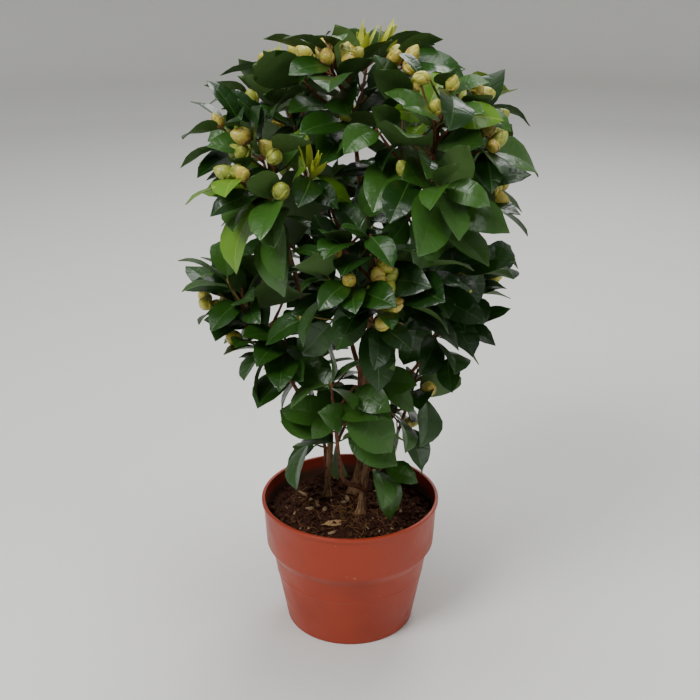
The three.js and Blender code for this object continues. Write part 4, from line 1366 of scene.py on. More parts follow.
# New shoots at the tips of some masses' twigs: how many, which tips come first, and the count, lengths,
# widths and slopes of their young leaves and of the brown bracts at their foot.
NEW_SHOOTS = {"upper_1": 1, "upper_2": 1, "upper_4": 1, "top_1": 2}
SHOOT_PLACE = np.array([0.35, -0.35, 1.0])
SHOOT_HEIGHTS = np.array([[14.0], [24.0], [34.0]])
SHOOT_CLEARANCE = 6.0
SHOOT_MARGIN = -20.0
SHOOT_EDGE = 1.0
SHOOT_LIFT = 0.8
SHOOT_DEPTH = 1.0
SHOOT_TURN = 0.4
SHOOT_SPREAD = (0.8, 1.2)
BARE_REACH = 3
YOUNG_LEAVES = ("young", 10, (24.0, 40.0), 0.22, (0.1, 0.7), (-0.6, -0.2))
BRACTS = ("bract", 5, (9.0, 14.0), 0.42, (0.25, 0.5), (-0.8, -0.4))


def young_leaves(mass, index):
    """Narrow leaves and bracts that stand close about a bare twig's tip, with their faces to its line.

    A shoot stands only where the mass's space, buds and leaves leave it room.
    """
    draw = draws_from(SHOOT_SEED + index)
    taken = np.vstack([leaf["places"] for leaf in mass["leaves"]])
    tips = [twig_at(twig["points"], 1) for twig in mass["twigs"] + mass["fine_twigs"]]
    roots = np.array([bud["root"] for bud in mass["buds"]]).reshape(-1, 3)
    tips = [(point, unit(heading + SHOOT_LIFT * UP)) for point, heading in tips]
    tips = [tip for tip in tips if (np.linalg.norm(roots - tip[0], axis=1) > BARE_REACH).all()]
    lines = [point + heading * SHOOT_HEIGHTS for point, heading in tips]
    tips = [
        tip for tip, line in zip(tips, lines)
        if in_space(line, mass, SHOOT_MARGIN, SHOOT_EDGE).all()
        and far_from(line[None], taken, SHOOT_CLEARANCE)[0]
    ]
    tips.sort(key=lambda tip: -tip[0] @ SHOOT_PLACE)
    leaves = []
    for point, heading in tips[: NEW_SHOOTS.get(mass["name"], 0)]:
        for kind, count, lengths, plump, slopes, arches in (YOUNG_LEAVES, BRACTS):
            for k in range(count):
                slope = mix(*slopes, k / (count - 1)) * mix(*SHOOT_SPREAD, draw())
                outwards = around(heading, k * GOLDEN_ANGLE + SHOOT_TURN * draw())
                direction = heading * math.cos(slope) + outwards * math.sin(slope)
                length = mix(*lengths, draw())
                leaf = {
                    "root": point - heading * SHOOT_DEPTH,
                    "direction": direction,
                    "normal": unit(heading * math.sin(slope) - outwards * math.cos(slope)),
                    "length": length,
                    "width": length * plump,
                    "arch": mix(*arches, draw()),
                    "kind": LEAF_KINDS.index(kind),
                }
                if in_space(leaf["root"] + direction * length, mass, SHOOT_MARGIN, 0.0):
                    leaves.append(leaf)
    return leaves


# A dry leaf on the peat, with its thickness and its rib's width
DRY_LEAF = {
    "root": (-27.0, -31.0, SOIL_TOP + 1.0), "direction": (0.96, 0.28, 0.0), "normal": (0.0, 0.0, 1.0),
    "length": 25.0, "width": 10.0, "arch": 0.2,
}
DRY_THICKNESS = 0.5
DRY_RIB = 0.8


def dry_leaf_surface():
    """The dry leaf, all of one kind of finish."""
    surface = leaf_surfaces(leaf_arrays([DRY_LEAF]), np.array([0]), DRY_THICKNESS, DRY_RIB)
    surface["kinds"] = np.full(len(surface["kinds"]), DRY)
    return surface


# Buds
BUD_ROWS = np.array([0.03, 0.12, 0.28, 0.46, 0.64, 0.8, 0.92, 0.985])
BUD_SIDES = 9
BUD_OUTLINE = (0.86, 0.62)
BUD_GIRTHS = (0.92, 1.06)
BUD_KINDS = 3
SCALES = 6
FOOT_SCALES = 2
SCALE_ROWS = np.array([0.02, 0.3, 0.55, 0.78, 0.93])
# Round a scale lie its edges and the points between them, and last its back, which is sunk into the bud.
SCALE_ACROSS = np.array([1.0, 0.5, 0, -0.5, -1.0, 0])
SCALE_REACH = (0.36, 0.98)
SCALE_WIDTH = 1.25
SCALE_START = 0.16
SCALE_OUTLINE = (1.1, 0.6)
# How far a scale lifts off: the least layer's share, the edges' share, and the back and tip in millimetres.
SCALE_LIFT = 0.34
LEAST_LAYER = 0.4
EDGE_LIFT = 0.45
BACK_LIFT = -0.25
TIP_LIFT = 0.15


def bud_radius(share):
    """A bud's radius as a share of its greatest: an egg, fullest below its middle, with a blunt point."""
    return np.sin(np.pi * np.clip(share, 0, 1) ** BUD_OUTLINE[0]) ** BUD_OUTLINE[1]


def on_bud(buds, share, azimuth, lift):
    """Places on some buds, at shares of their length, at azimuths, lifted off by millimetres."""
    heading, first, second = buds["heading"], buds["first"], buds["second"]
    radius = (buds["radius"] * bud_radius(share) + lift)[..., None]
    axis = buds["root"] + heading * (buds["length"] * share)[..., None]
    return axis + radius * (first * np.cos(azimuth)[..., None] + second * np.sin(azimuth)[..., None])


def bud_surfaces(plant):
    """Buds: an egg each, clothed in overlapping scales that lie on it, the lowest outermost."""
    grown = [bud for mass in plant["masses"] for bud in mass["buds"]]
    count = len(grown)
    rng = np.random.default_rng(BUD_SEED)
    heading = np.array([bud["direction"] for bud in grown])
    length = np.array([bud["length"] for bud in grown])
    first = np.array([around(way, 0.0) for way in heading])
    second = np.cross(heading, first)
    girth = rng.uniform(*BUD_GIRTHS, count)
    buds = {
        "root": np.array([bud["root"] for bud in grown]), "heading": heading, "first": first,
        "second": second, "length": length, "radius": 0.5 * BUD_WIDTH * length * girth,
    }
    body = {key: value[:, None, None] for key, value in buds.items()}
    shape = (count, len(BUD_ROWS), BUD_SIDES)
    share = np.broadcast_to(BUD_ROWS[:, None], shape)
    rings = on_bud(body, share, np.broadcast_to(circle(BUD_SIDES), shape), 0.0)
    poles = np.stack([buds["root"], buds["root"] + heading * length[:, None]], axis=1)
    kinds = rng.integers(0, BUD_KINDS, count)
    eggs = lofts(rings, poles, kinds[:, None, None])

    # Each scale runs from the bud's foot to its own reach and is widest near its middle.
    k = np.arange(SCALES)
    reach = mix(*SCALE_REACH, k / (SCALES - 1))
    turn = rng.uniform(0, FULL_TURN, (count, 1)) + k * GOLDEN_ANGLE
    run = SCALE_START + (1 - SCALE_START) * SCALE_ROWS
    wide = SCALE_WIDTH * np.sin(np.pi * run ** SCALE_OUTLINE[0]) ** SCALE_OUTLINE[1]
    scale = {key: value[:, None, None, None] for key, value in buds.items()}
    columns = len(SCALE_ACROSS)
    shape = (count, SCALES, len(SCALE_ROWS), columns)
    share = np.broadcast_to((reach[:, None] * SCALE_ROWS)[..., None], shape)
    azimuth = turn[..., None, None] + wide[:, None] * SCALE_ACROSS
    layer = (SCALES - k)[:, None, None] / SCALES
    back = np.arange(columns) == columns - 1
    lift = np.where(back, BACK_LIFT, SCALE_LIFT * (LEAST_LAYER + layer))
    lift = lift * np.where(np.abs(SCALE_ACROSS) == 1, EDGE_LIFT, 1.0)
    rings = on_bud(scale, share, azimuth, np.broadcast_to(lift, shape))
    ends = {key: value[:, None] for key, value in buds.items()}
    tips = on_bud(ends, np.broadcast_to(reach, turn.shape), turn, TIP_LIFT)
    feet = np.broadcast_to(buds["root"][:, None], tips.shape)
    poles = np.stack([feet, tips], axis=2)
    scale_kinds = np.broadcast_to(kinds[:, None], (count, SCALES)) + BUD_KINDS * (k < FOOT_SCALES)
    flat = rings.reshape(-1, len(SCALE_ROWS), columns, 3)
    return [eggs, lofts(flat, poles.reshape(-1, 2, 3), scale_kinds.reshape(-1, 1, 1))]


# Finishes
def add_node(tree, kind, inputs=None, **settings):
    """Adds a shader node with its settings, and links or sets its inputs."""
    node = tree.nodes.new(kind)
    for name, value in settings.items():
        setattr(node, name, value)
    for socket, value in (inputs or {}).items():
        if isinstance(value, bpy.types.NodeSocket):
            tree.links.new(value, node.inputs[socket])
        else:
            node.inputs[socket].default_value = value
    return node


def new_group(name, inputs, outputs):
    """A shader node group with named inputs and outputs."""
    group = bpy.data.node_groups.new(name, "ShaderNodeTree")
    for label, kind, value in inputs:
        socket = group.interface.new_socket(name=label, in_out="INPUT", socket_type=kind)
        if value is not None:
            socket.default_value = value
    for label, kind in outputs:
        group.interface.new_socket(name=label, in_out="OUTPUT", socket_type=kind)
    return group, group.nodes.new("NodeGroupInput").outputs, group.nodes.new("NodeGroupOutput").inputs


def arithmetic(tree, operation, first, second=0.0):
    """The output of a Math node."""
    return add_node(tree, "ShaderNodeMath", {0: first, 1: second}, operation=operation).outputs[0]


MOTTLE_DETAIL = 3.0
RELIEF_DETAIL = 4.0
VEIN_WIDTH = 0.28


def mottle_group():
    """Soft uneven patches: a mask that goes from 0 to 1 between two levels of a noise."""
    group, given, result = new_group(
        "mottle",
        [("Vector", "NodeSocketVector", None), ("Scale", "NodeSocketFloat", 60.0),
         ("Low", "NodeSocketFloat", 0.4), ("High", "NodeSocketFloat", 0.6)],
        [("Mask", "NodeSocketFloat")],
    )
    noise = add_node(group, "ShaderNodeTexNoise", {
        "Vector": given["Vector"], "Scale": given["Scale"], "Detail": MOTTLE_DETAIL,
    })
    span = add_node(
        group, "ShaderNodeMapRange",
        {"Value": noise.outputs["Fac"], "From Min": given["Low"], "From Max": given["High"]},
        interpolation_type="SMOOTHSTEP",
    )
    group.links.new(span.outputs["Result"], result["Mask"])
    return group


def relief_group():
    """Fine relief: a noise with small pits in it, as a height."""
    group, given, result = new_group(
        "fine_relief",
        [("Vector", "NodeSocketVector", None), ("Scale", "NodeSocketFloat", 400.0),
         ("Pits", "NodeSocketFloat", 0.3)],
        [("Height", "NodeSocketFloat")],
    )
    noise = add_node(group, "ShaderNodeTexNoise", {
        "Vector": given["Vector"], "Scale": given["Scale"], "Detail": RELIEF_DETAIL,
    })
    cells = add_node(group, "ShaderNodeTexVoronoi", {"Vector": given["Vector"], "Scale": given["Scale"]})
    pits = arithmetic(group, "MULTIPLY", cells.outputs["Distance"], given["Pits"])
    group.links.new(arithmetic(group, "ADD", noise.outputs["Fac"], pits), result["Height"])
    return group


def side_vein_group():
    """Sunken side veins that run from a leaf's rib towards its tip, from its map of length and width.

    The phase is the length times the count less the distance from the rib times the slant. A vein lies
    where the phase is near an even number.
    """
    group, given, result = new_group(
        "side_veins",
        [("Map", "NodeSocketVector", None), ("Count", "NodeSocketFloat", 8.0),
         ("Slant", "NodeSocketFloat", 1.3)],
        [("Height", "NodeSocketFloat")],
    )
    axes = add_node(group, "ShaderNodeSeparateXYZ", {0: given["Map"]}).outputs
    off_rib = arithmetic(group, "ABSOLUTE", arithmetic(group, "SUBTRACT", axes["Y"], 0.5))
    slant = arithmetic(group, "MULTIPLY", off_rib, given["Slant"])
    along = arithmetic(group, "MULTIPLY", axes["X"], given["Count"])
    near = arithmetic(group, "PINGPONG", arithmetic(group, "SUBTRACT", along, slant), 1.0)
    height = add_node(
        group, "ShaderNodeMapRange", {"Value": near, "From Max": VEIN_WIDTH},
        interpolation_type="SMOOTHSTEP",
    )
    group.links.new(height.outputs["Result"], result["Height"])
    return group


EFFECTS = {}


def effect(name):
    """A node group, built once."""
    if not EFFECTS:
        EFFECTS.update(mottle=mottle_group(), relief=relief_group(), side_veins=side_vein_group())
    return EFFECTS[name]


COAT_ROUGHNESS = 0.25
# The sockets of a Mix node that blends colours.
FIRST_COLOUR, SECOND_COLOUR, BLENDED = 6, 7, 2


class Finish:
    """A material with its shader: plain values on the shader's sockets, patterns linked to them."""

    def __init__(self, name, colour, roughness, coat=0.0, specular=0.5):
        self.material = bpy.data.materials.new(name)
        self.material.use_nodes = True
        self.material.diffuse_color = (*colour, 1)
        self.tree = self.material.node_tree
        self.shader = self.tree.nodes["Principled BSDF"]
        self.colour = (*colour, 1)
        for socket, value in (
            ("Base Color", self.colour), ("Roughness", roughness), ("Specular IOR Level", specular),
            ("Coat Weight", coat), ("Coat Roughness", COAT_ROUGHNESS),
        ):
            self.shader.inputs[socket].default_value = value
        places = add_node(self.tree, "ShaderNodeTexCoord").outputs
        self.places = places["Object"]
        self.map = places["UV"]
        self.normal = None

    def pattern(self, name, inputs):
        """The output of one of the shared effects."""
        return add_node(self.tree, "ShaderNodeGroup", inputs, node_tree=effect(name)).outputs[0]

    def stretched(self, scale):
        """The piece's own places, drawn out by a scale along each axis."""
        return add_node(self.tree, "ShaderNodeMapping", {"Vector": self.places, "Scale": scale}).outputs[0]

    def mask(self, scale, low, high, vector=None):
        """A mottle mask over the piece."""
        inputs = {"Vector": vector or self.places, "Scale": scale, "Low": low, "High": high}
        return self.pattern("mottle", inputs)

    def blend(self, colour, mask):
        """Blends another colour into the base colour by a mask."""
        inputs = {"Factor": mask, FIRST_COLOUR: self.colour, SECOND_COLOUR: (*colour, 1)}
        self.colour = add_node(self.tree, "ShaderNodeMix", inputs, data_type="RGBA").outputs[BLENDED]
        self.tree.links.new(self.colour, self.shader.inputs["Base Color"])
        return self

    def gloss(self, low, high, mask):
        """Lets the roughness go from one value to another by a mask."""
        node = add_node(self.tree, "ShaderNodeMapRange", {"Value": mask, "To Min": low, "To Max": high})
        self.tree.links.new(node.outputs["Result"], self.shader.inputs["Roughness"])
        return self

    def band(self, low, high):
        """A mask that goes from 0 to 1 between two heights in metres."""
        height = add_node(self.tree, "ShaderNodeSeparateXYZ", {0: self.places}).outputs["Z"]
        inputs = {"Value": height, "From Min": low, "From Max": high}
        return add_node(self.tree, "ShaderNodeMapRange", inputs).outputs["Result"]

    def bump(self, height, distance, strength=1.0):
        """Adds a relief of a height's shape, at most a distance in metres deep."""
        inputs = {"Height": height, "Distance": distance, "Strength": strength}
        if self.normal:
            inputs["Normal"] = self.normal
        self.normal = add_node(self.tree, "ShaderNodeBump", inputs).outputs["Normal"]
        self.tree.links.new(self.normal, self.shader.inputs["Normal"])
        return self

    def relief(self, scale, distance, pits=0.3, vector=None, strength=1.0):
        """Adds fine relief."""
        inputs = {"Vector": vector or self.places, "Scale": scale, "Pits": pits}
        return self.bump(self.pattern("relief", inputs), distance, strength)

    def veins(self, distance):
        """Adds a leaf's side veins."""
        return self.bump(self.pattern("side_veins", {"Map": self.map}), distance)


# Colours that only a finish's own pattern uses, and the heights in metres between which it changes.
DUST = (0.36, 0.11, 0.06)
PEAT_STAIN = (0.06, 0.03, 0.018)
STAIN_SPAN = (0.1225, 0.116)
UPPER_BARK_SPAN = (0.13, 0.34)
ALONG_LIMB = (1.0, 1.0, 0.16)
PEAT_LIGHT = (0.085, 0.031, 0.016)
CRUMB_SHADES = ((0.046, 0.016, 0.009), (0.095, 0.036, 0.018))
BROWN_CRUMB_SHADES = ((0.1, 0.045, 0.022), (0.18, 0.085, 0.04))
FIBRE_LIGHT = (0.16, 0.075, 0.03)
CHIP_LIGHT = (0.25, 0.15, 0.08)
DRY_LEAF_LIGHT = (0.3, 0.17, 0.07)
CUT_LIGHT = (0.22, 0.13, 0.07)
# For each ripeness of bud: the flush of its scales, then the colour and flush of the scales at its foot.
BUD_SHADES = {
    "green_bud": ((0.38, 0.39, 0.06), (0.2, 0.22, 0.05), (0.24, 0.14, 0.05)),
    "yellow_bud": ((0.5, 0.36, 0.06), (0.3, 0.25, 0.06), (0.28, 0.14, 0.05)),
    "ochre_bud": ((0.43, 0.27, 0.055), (0.3, 0.16, 0.05), (0.2, 0.1, 0.04)),
}
# The roughness of each kind of leaf, of its rib and of its back.
LEAF_ROUGHNESS = {"dark": 0.28, "deep": 0.29, "mid": 0.32, "fresh": 0.38, "young": 0.42, "bract": 0.6}
RIB_ROUGHNESS = 0.4
BACK_ROUGHNESS = 0.55
# How deep the side veins are on leaves and on their backs, in metres.
VEIN_DEPTH = 0.00012
BACK_VEIN_DEPTH = 0.0001


def shaded(colour, share):
    """A colour made darker or lighter by a share."""
    return tuple(min(1.0, share * part) for part in colour)


def plastic(name, colour, stained):
    """Moulded terracotta plastic, a little dusty; inside, peat clings to it up to the soil's height."""
    finish = Finish(name, colour, roughness=0.42, specular=0.35)
    finish.blend(shaded(colour, 0.84), finish.mask(scale=22.0, low=0.42, high=0.72))
    finish.blend(DUST, finish.mask(scale=190.0, low=0.68, high=0.8))
    if stained:
        finish.blend(PEAT_STAIN, finish.band(*STAIN_SPAN))
    finish.gloss(low=0.36, high=0.5, mask=finish.mask(scale=35.0, low=0.35, high=0.7))
    return finish.relief(scale=900.0, distance=0.00012, strength=0.5).material


def peat(name, colour, light, scale):
    """Rough peat: dark brown with lighter bits, deeply pitted."""
    finish = Finish(name, colour, roughness=0.93, specular=0.14)
    finish.blend(light, finish.mask(scale, low=0.52, high=0.68))
    return finish.relief(scale=1.3 * scale, distance=0.0016, pits=0.8).material


def bark(name, colour, upper, cracks):
    """Bark: its own shade low down and another further up, with long fine cracks and paler patches."""
    finish = Finish(name, colour, roughness=0.68, specular=0.3)
    finish.blend(upper, finish.band(*UPPER_BARK_SPAN))
    along = finish.stretched(ALONG_LIMB)
    finish.blend(shaded(colour, 0.42), finish.mask(cracks, low=0.5, high=0.62, vector=along))
    finish.blend(shaded(colour, 1.5), finish.mask(scale=70.0, low=0.58, high=0.72))
    finish.relief(scale=1.4 * cracks, distance=0.0005, vector=along)
    return finish.relief(scale=1500.0, distance=0.00015).material


def leaf_skin(name, colour, roughness, vein_depth):
    """A leaf: one plain green, with sunken side veins and a faint uneven relief."""
    finish = Finish(name, colour, roughness, specular=0.4)
    finish.relief(scale=140.0, distance=0.0009, strength=0.7)
    return finish.veins(vein_depth).material


def bud_skin(name, colour, flush):
    """A bud's scale: a little mottled, with fine relief."""
    finish = Finish(name, colour, roughness=0.4, coat=0.1)
    finish.blend(flush, finish.mask(scale=260.0, low=0.45, high=0.7))
    return finish.relief(scale=600.0, distance=0.0002).material


def colour_property(name, description, default):
    """A colour for the panel, as its red, green and blue."""
    return FloatVectorProperty(
        name=name, description=description, default=default, size=3, min=0.0, max=1.0, subtype="COLOR"
    )


def length_property(name, description, default):
    """A length for the panel, in metres."""
    return FloatProperty(
        name=name, description=description, default=default, min=0.0, soft_max=4 * default,
        subtype="DISTANCE", unit="LENGTH", precision=4,
    )


class CamelliaSizes(bpy.types.PropertyGroup):
    """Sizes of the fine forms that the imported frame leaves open."""

    leaf_thickness: length_property("Leaf Thickness", "Thickness of a leaf between rib and edge", 0.0006)
    rib_width: length_property("Rib Width", "Width of a leaf's pale rib at the stalk", 0.0011)
    peat_lump: length_property("Peat Lump", "Height of the lumps in the peat's surface", 0.0013)
    crumb: length_property("Crumb", "Greatest radius of a peat crumb", 0.0036)


class CamelliaColours(bpy.types.PropertyGroup):
    """Colours of the plant and its pot."""

    pot: colour_property("Pot", "Terracotta-coloured plastic", (0.32, 0.036, 0.012))
    # The inside's colour is the pot's own plastic darkened: painted shade for the shadow inside the pot.
    pot_inside: colour_property("Pot Inside", "The plastic inside, in its own shade", (0.22, 0.025, 0.012))
    peat: colour_property("Peat", "Moist peat compost", (0.034, 0.0115, 0.0065))
    fibre: colour_property("Fibre", "Golden-brown fibres in the peat", (0.24, 0.115, 0.045))
    chip: colour_property("Chip", "Pale chips of wood in the peat", (0.4, 0.27, 0.15))
    bark: colour_property("Bark", "Tan bark at the stems' feet", (0.28, 0.155, 0.078))
    upper_bark: colour_property("Upper Bark", "Browner bark further up", (0.19, 0.085, 0.04))
    young_bark: colour_property("Young Bark", "Red-brown bark of boughs and twigs", (0.17, 0.06, 0.026))
    green_bark: colour_property("Green Bark", "Bark of the youngest twigs", (0.16, 0.12, 0.03))
    cut_wood: colour_property("Cut Wood", "Weathered wood of a pruned end", (0.42, 0.3, 0.18))
    dark_leaf: colour_property("Dark Leaf", "The oldest leaves", (0.008, 0.032, 0.004))
    deep_leaf: colour_property("Deep Leaf", "Most full-grown leaves", (0.014, 0.053, 0.005))
    mid_leaf: colour_property("Mid Leaf", "Leaves of the last season", (0.031, 0.092, 0.011))
    fresh_leaf: colour_property("Fresh Leaf", "This season's leaves", (0.1, 0.22, 0.015))
    young_leaf: colour_property("Young Leaf", "Leaves of the new shoots", (0.4, 0.45, 0.04))
    bract_leaf: colour_property("Bract", "Brown bracts at the foot of the new shoots", (0.36, 0.17, 0.05))
    dry_leaf: colour_property("Dry Leaf", "The dry leaf on the peat", (0.42, 0.25, 0.12))
    rib: colour_property("Rib", "Ribs of full-grown leaves", (0.04, 0.1, 0.016))
    fresh_rib: colour_property("Fresh Rib", "Ribs of fresh leaves", (0.26, 0.34, 0.05))
    leaf_back: colour_property("Leaf Back", "Undersides of full-grown leaves", (0.055, 0.115, 0.024))
    fresh_back: colour_property("Fresh Back", "Undersides of fresh leaves", (0.18, 0.27, 0.03))
    green_bud: colour_property("Green Bud", "Buds still green", (0.27, 0.31, 0.04))
    yellow_bud: colour_property("Yellow Bud", "Yellowing buds", (0.44, 0.43, 0.06))
    ochre_bud: colour_property("Ochre Bud", "The ripest buds", (0.47, 0.4, 0.06))
    floor: colour_property("Floor", "Plain pale floor", (0.72, 0.72, 0.7))


def shades(context):
    """The panel's colours by name, as plain tuples."""
    colours = context.scene.camellia_colours
    return {name: tuple(getattr(colours, name)) for name in CamelliaColours.__annotations__}


class CAMELLIA_OT_pot(bpy.types.Operator):
    """Make the thin plastic pot with its collar, rounded lip and six drain holes"""

    bl_idname = "camellia.pot"
    bl_label = "Pot"

    def execute(self, context):
        colours = shades(context)
        finishes = [
            plastic("pot_outside", colours["pot"], stained=False),
            # The inside takes a darker copy of the plastic's colour, painted shade for the shadow in the
            # pot, with a real peat stain near the soil.
            plastic("pot_inside", colours["pot_inside"], stained=True),
        ]
        make_piece("nursery_pot", pot_surfaces(), finishes, ["pot"], merge=True)
        return {"FINISHED"}


class CAMELLIA_OT_peat(bpy.types.Operator):
    """Make the peat with its crumbs, fibres, chips and dry leaf"""

    bl_idname = "camellia.peat"
    bl_label = "Peat"

    def execute(self, context):
        colours, sizes = shades(context), context.scene.camellia_sizes
        lump = sizes.peat_lump / METRES
        body = peat("peat_body", colours["peat"], PEAT_LIGHT, scale=420.0)
        make_piece("peat_body", [peat_surface(lump)], [body], ["soil"])
        finishes = [
            peat("peat_crumb", *CRUMB_SHADES, scale=700.0),
            peat("brown_crumb", *BROWN_CRUMB_SHADES, scale=700.0),
            peat("peat_fibre", colours["fibre"], FIBRE_LIGHT, scale=900.0),
            peat("wood_chip", colours["chip"], CHIP_LIGHT, scale=900.0),
            peat("dry_leaf", colours["dry_leaf"], DRY_LEAF_LIGHT, scale=500.0),
        ]
        bits = [crumb_surfaces(lump, sizes.crumb / METRES), fibre_surfaces(lump), dry_leaf_surface()]
        make_piece("peat_crumbs", bits, finishes, ["soil"])
        return {"FINISHED"}


class CAMELLIA_OT_bark(bpy.types.Operator):
    """Make the stems, pruned ends and boughs with bark, collars and root flares"""

    bl_idname = "camellia.bark"
    bl_label = "Stems and Boughs"

    def execute(self, context):
        colours = shades(context)
        plant = grown_plant()
        stems = plant["stems"]
        old = bark("stem_bark", colours["bark"], colours["upper_bark"], cracks=520.0)
        cut = peat("cut_wood", colours["cut_wood"], CUT_LIGHT, scale=500.0)
        surfaces = [
            stem_surface(stem, stems[name], STEM_SEED + k) for k, (name, stem) in enumerate(STEMS.items())
        ]
        for k, (_, name, *form, radii) in enumerate(PRUNED_ENDS):
            curve = pruned_curve(stems[name], *form, BOUGH_DRAWN)
            surfaces.append(limb_surface(curve, radii, PRUNED_SEED + k, cut=True))
        replaced = [f"stem_{name}" for name in STEMS] + [end[0] for end in PRUNED_ENDS]
        make_piece("stems", surfaces, [old, cut], replaced)

        young = bark("bough_bark", colours["young_bark"], colours["young_bark"], cracks=700.0)
        surfaces = []
        for k, mass in enumerate(plant["masses"]):
            if mass["name"] in BOUGH_STEMS:
                curve = bough_curve(stems[BOUGH_STEMS[mass["name"]]], mass, BOUGH_DRAWN)
                surfaces.append(limb_surface(curve, BOUGH_RADII, BOUGH_SEED + k, cut=False))
        make_piece("boughs", surfaces, [young], [f"bough_{name}" for name in BOUGH_STEMS])
        return {"FINISHED"}


def foliage_nodes():
    """The names of the CAD nodes of the masses of foliage."""
    return [f"foliage_{mass['name']}" for mass in grown_plant()["masses"]]


class CAMELLIA_OT_twigs(bpy.types.Operator):
    """Make the twigs inside the masses of foliage"""

    bl_idname = "camellia.twigs"
    bl_label = "Twigs"

    def execute(self, context):
        colours = shades(context)
        finishes = [
            bark("twig_bark", colours["young_bark"], colours["young_bark"], cracks=900.0),
            bark("green_twig_bark", colours["green_bark"], colours["green_bark"], cracks=900.0),
        ]
        make_piece("twigs", [twig_surfaces(grown_plant())], finishes, foliage_nodes())
        return {"FINISHED"}


class CAMELLIA_OT_leaves(bpy.types.Operator):
    """Make the leaves of all masses and their new shoots"""

    bl_idname = "camellia.leaves"
    bl_label = "Leaves"

    def execute(self, context):
        colours, sizes = shades(context), context.scene.camellia_sizes
        leaves = []
        for index, mass in enumerate(grown_plant()["masses"]):
            for grown in mass["leaves"]:
                leaves.append({**grown, "kind": spray_kind(index, grown["spray"])})
            leaves += young_leaves(mass, index)
        kinds = np.array([grown["kind"] for grown in leaves])
        finishes = [
            leaf_skin(f"{name}_leaf", colours[f"{name}_leaf"], LEAF_ROUGHNESS[name], VEIN_DEPTH)
            for name in LEAF_KINDS
        ] + [
            leaf_skin("leaf_rib", colours["rib"], RIB_ROUGHNESS, vein_depth=0.0),
            leaf_skin("fresh_leaf_rib", colours["fresh_rib"], RIB_ROUGHNESS, vein_depth=0.0),
            leaf_skin("leaf_back", colours["leaf_back"], BACK_ROUGHNESS, BACK_VEIN_DEPTH),
            leaf_skin("fresh_leaf_back", colours["fresh_back"], BACK_ROUGHNESS, BACK_VEIN_DEPTH),
        ]
        thickness, rib = sizes.leaf_thickness / METRES, sizes.rib_width / METRES
        surfaces = [leaf_surfaces(leaf_arrays(leaves), kinds, thickness, rib)]
        make_piece("leaves", surfaces, finishes, foliage_nodes())
        return {"FINISHED"}


class CAMELLIA_OT_buds(bpy.types.Operator):
    """Make the flower buds with their overlapping scales"""

    bl_idname = "camellia.buds"
    bl_label = "Flower Buds"

    def execute(self, context):
        colours = shades(context)
        finishes = [bud_skin(name, colours[name], flush) for name, (flush, *_) in BUD_SHADES.items()]
        finishes += [bud_skin(f"{name}_foot", *foot) for name, (_, *foot) in BUD_SHADES.items()]
        make_piece("flower_buds", bud_surfaces(grown_plant()), finishes, foliage_nodes())
        return {"FINISHED"}


# Stage: a round floor that rises to a rim far behind the plant, as radii and heights in millimetres.
FLOOR_LINE = [(0, 0), (1500, 0), (2600, 0), (3200, 60), (3500, 380), (3600, 1100), (3620, 2600)]
FLOOR_BENDS = [40, 40, 200, 120, 200]
FLOOR_ROWS = 8
FLOOR_COLUMNS = 96
CAMERA_PLACE = (0.0, -0.99, 0.685)
CAMERA_AIM = (0.0, 0.0, 0.28)
LENS = 60.0
# Each light's place, its side in metres and its power in watts.
LIGHTS = [
    ("key", (-1.0, -1.1, 1.9), 0.8, 39.0),
    ("fill", (1.5, -0.9, 1.1), 1.0, 7.0),
    ("back", (0.5, 1.5, 1.7), 1.0, 18.0),
    ("top", (0.0, 0.1, 2.3), 1.2, 24.0),
]
LIGHT_AIM = (0.0, 0.0, 0.32)
ROOM = {"Color": (1.0, 0.99, 0.97, 1), "Strength": 0.26}


def aimed(thing, place, aim):
    """Puts a camera or light at a place and turns it towards an aim."""
    thing.location = place
    thing.rotation_euler = (Vector(aim) - Vector(place)).to_track_quat("-Z", "Y").to_euler()
    bpy.context.scene.collection.objects.link(thing)


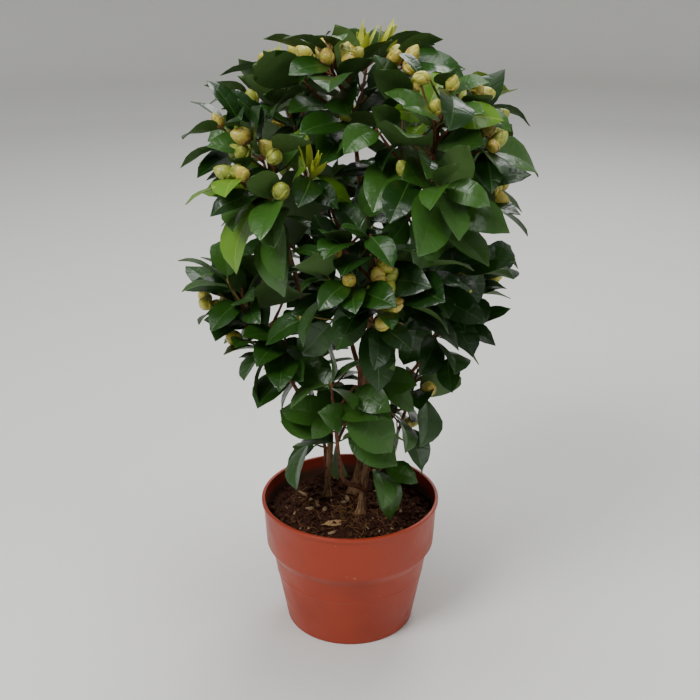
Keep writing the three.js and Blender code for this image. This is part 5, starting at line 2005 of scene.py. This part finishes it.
class CAMELLIA_OT_stage(bpy.types.Operator):
    """Make the pale floor, the soft lights and the camera"""

    bl_idname = "camellia.stage"
    bl_label = "Stage"

    def execute(self, context):
        finish = Finish("pale_floor", shades(context)["floor"], roughness=0.8, specular=0.2)
        finish.relief(scale=60.0, distance=0.0004)
        surface = bands(turned(rounded(FLOOR_LINE, FLOOR_BENDS, FLOOR_ROWS), FLOOR_COLUMNS)[None])
        floor = make_piece("floor", [surface], [finish.material], [], merge=True)
        for name, place, side, power in LIGHTS:
            light = bpy.data.lights.new(name, "AREA")
            light.size = side
            light.energy = power
            aimed(bpy.data.objects.new(name, light), place, LIGHT_AIM)
        world = bpy.data.worlds.new("soft_room")
        world.use_nodes = True
        for socket, value in ROOM.items():
            world.node_tree.nodes["Background"].inputs[socket].default_value = value
        context.scene.world = world
        camera = bpy.data.cameras.new("camera")
        camera.lens = LENS
        camera_object = bpy.data.objects.new("camera", camera)
        aimed(camera_object, CAMERA_PLACE, CAMERA_AIM)
        context.scene.camera = camera_object
        return {"FINISHED"}


OPERATORS = (
    CAMELLIA_OT_stage, CAMELLIA_OT_pot, CAMELLIA_OT_peat, CAMELLIA_OT_bark, CAMELLIA_OT_twigs,
    CAMELLIA_OT_leaves, CAMELLIA_OT_buds,
)


class CAMELLIA_PT_panel(bpy.types.Panel):
    """Lists the steps that make the potted camellia"""

    bl_idname = "CAMELLIA_PT_panel"
    bl_label = "Potted Camellia"
    bl_space_type = "VIEW_3D"
    bl_region_type = "UI"
    bl_category = "Camellia"

    def draw(self, context):
        for operator in OPERATORS:
            self.layout.operator(operator.bl_idname)
        for group in (context.scene.camellia_sizes, context.scene.camellia_colours):
            box = self.layout.box()
            for name in group.__annotations__:
                box.prop(group, name)


CLASSES = (CamelliaSizes, CamelliaColours, *OPERATORS, CAMELLIA_PT_panel)


def register():
    """Adds the classes, and the sizes and colours of the scene."""
    for cls in CLASSES:
        bpy.utils.register_class(cls)
    bpy.types.Scene.camellia_sizes = PointerProperty(type=CamelliaSizes)
    bpy.types.Scene.camellia_colours = PointerProperty(type=CamelliaColours)


def unregister():
    """Takes away what register adds, in the other order."""
    del bpy.types.Scene.camellia_colours
    del bpy.types.Scene.camellia_sizes
    for cls in reversed(CLASSES):
        bpy.utils.unregister_class(cls)


def main():
    """Makes every piece in order."""
    register()
    bpy.ops.camellia.stage()
    bpy.ops.camellia.pot()
    bpy.ops.camellia.peat()
    bpy.ops.camellia.bark()
    bpy.ops.camellia.twigs()
    bpy.ops.camellia.leaves()
    bpy.ops.camellia.buds()


if __name__ == "__main__":
    main()
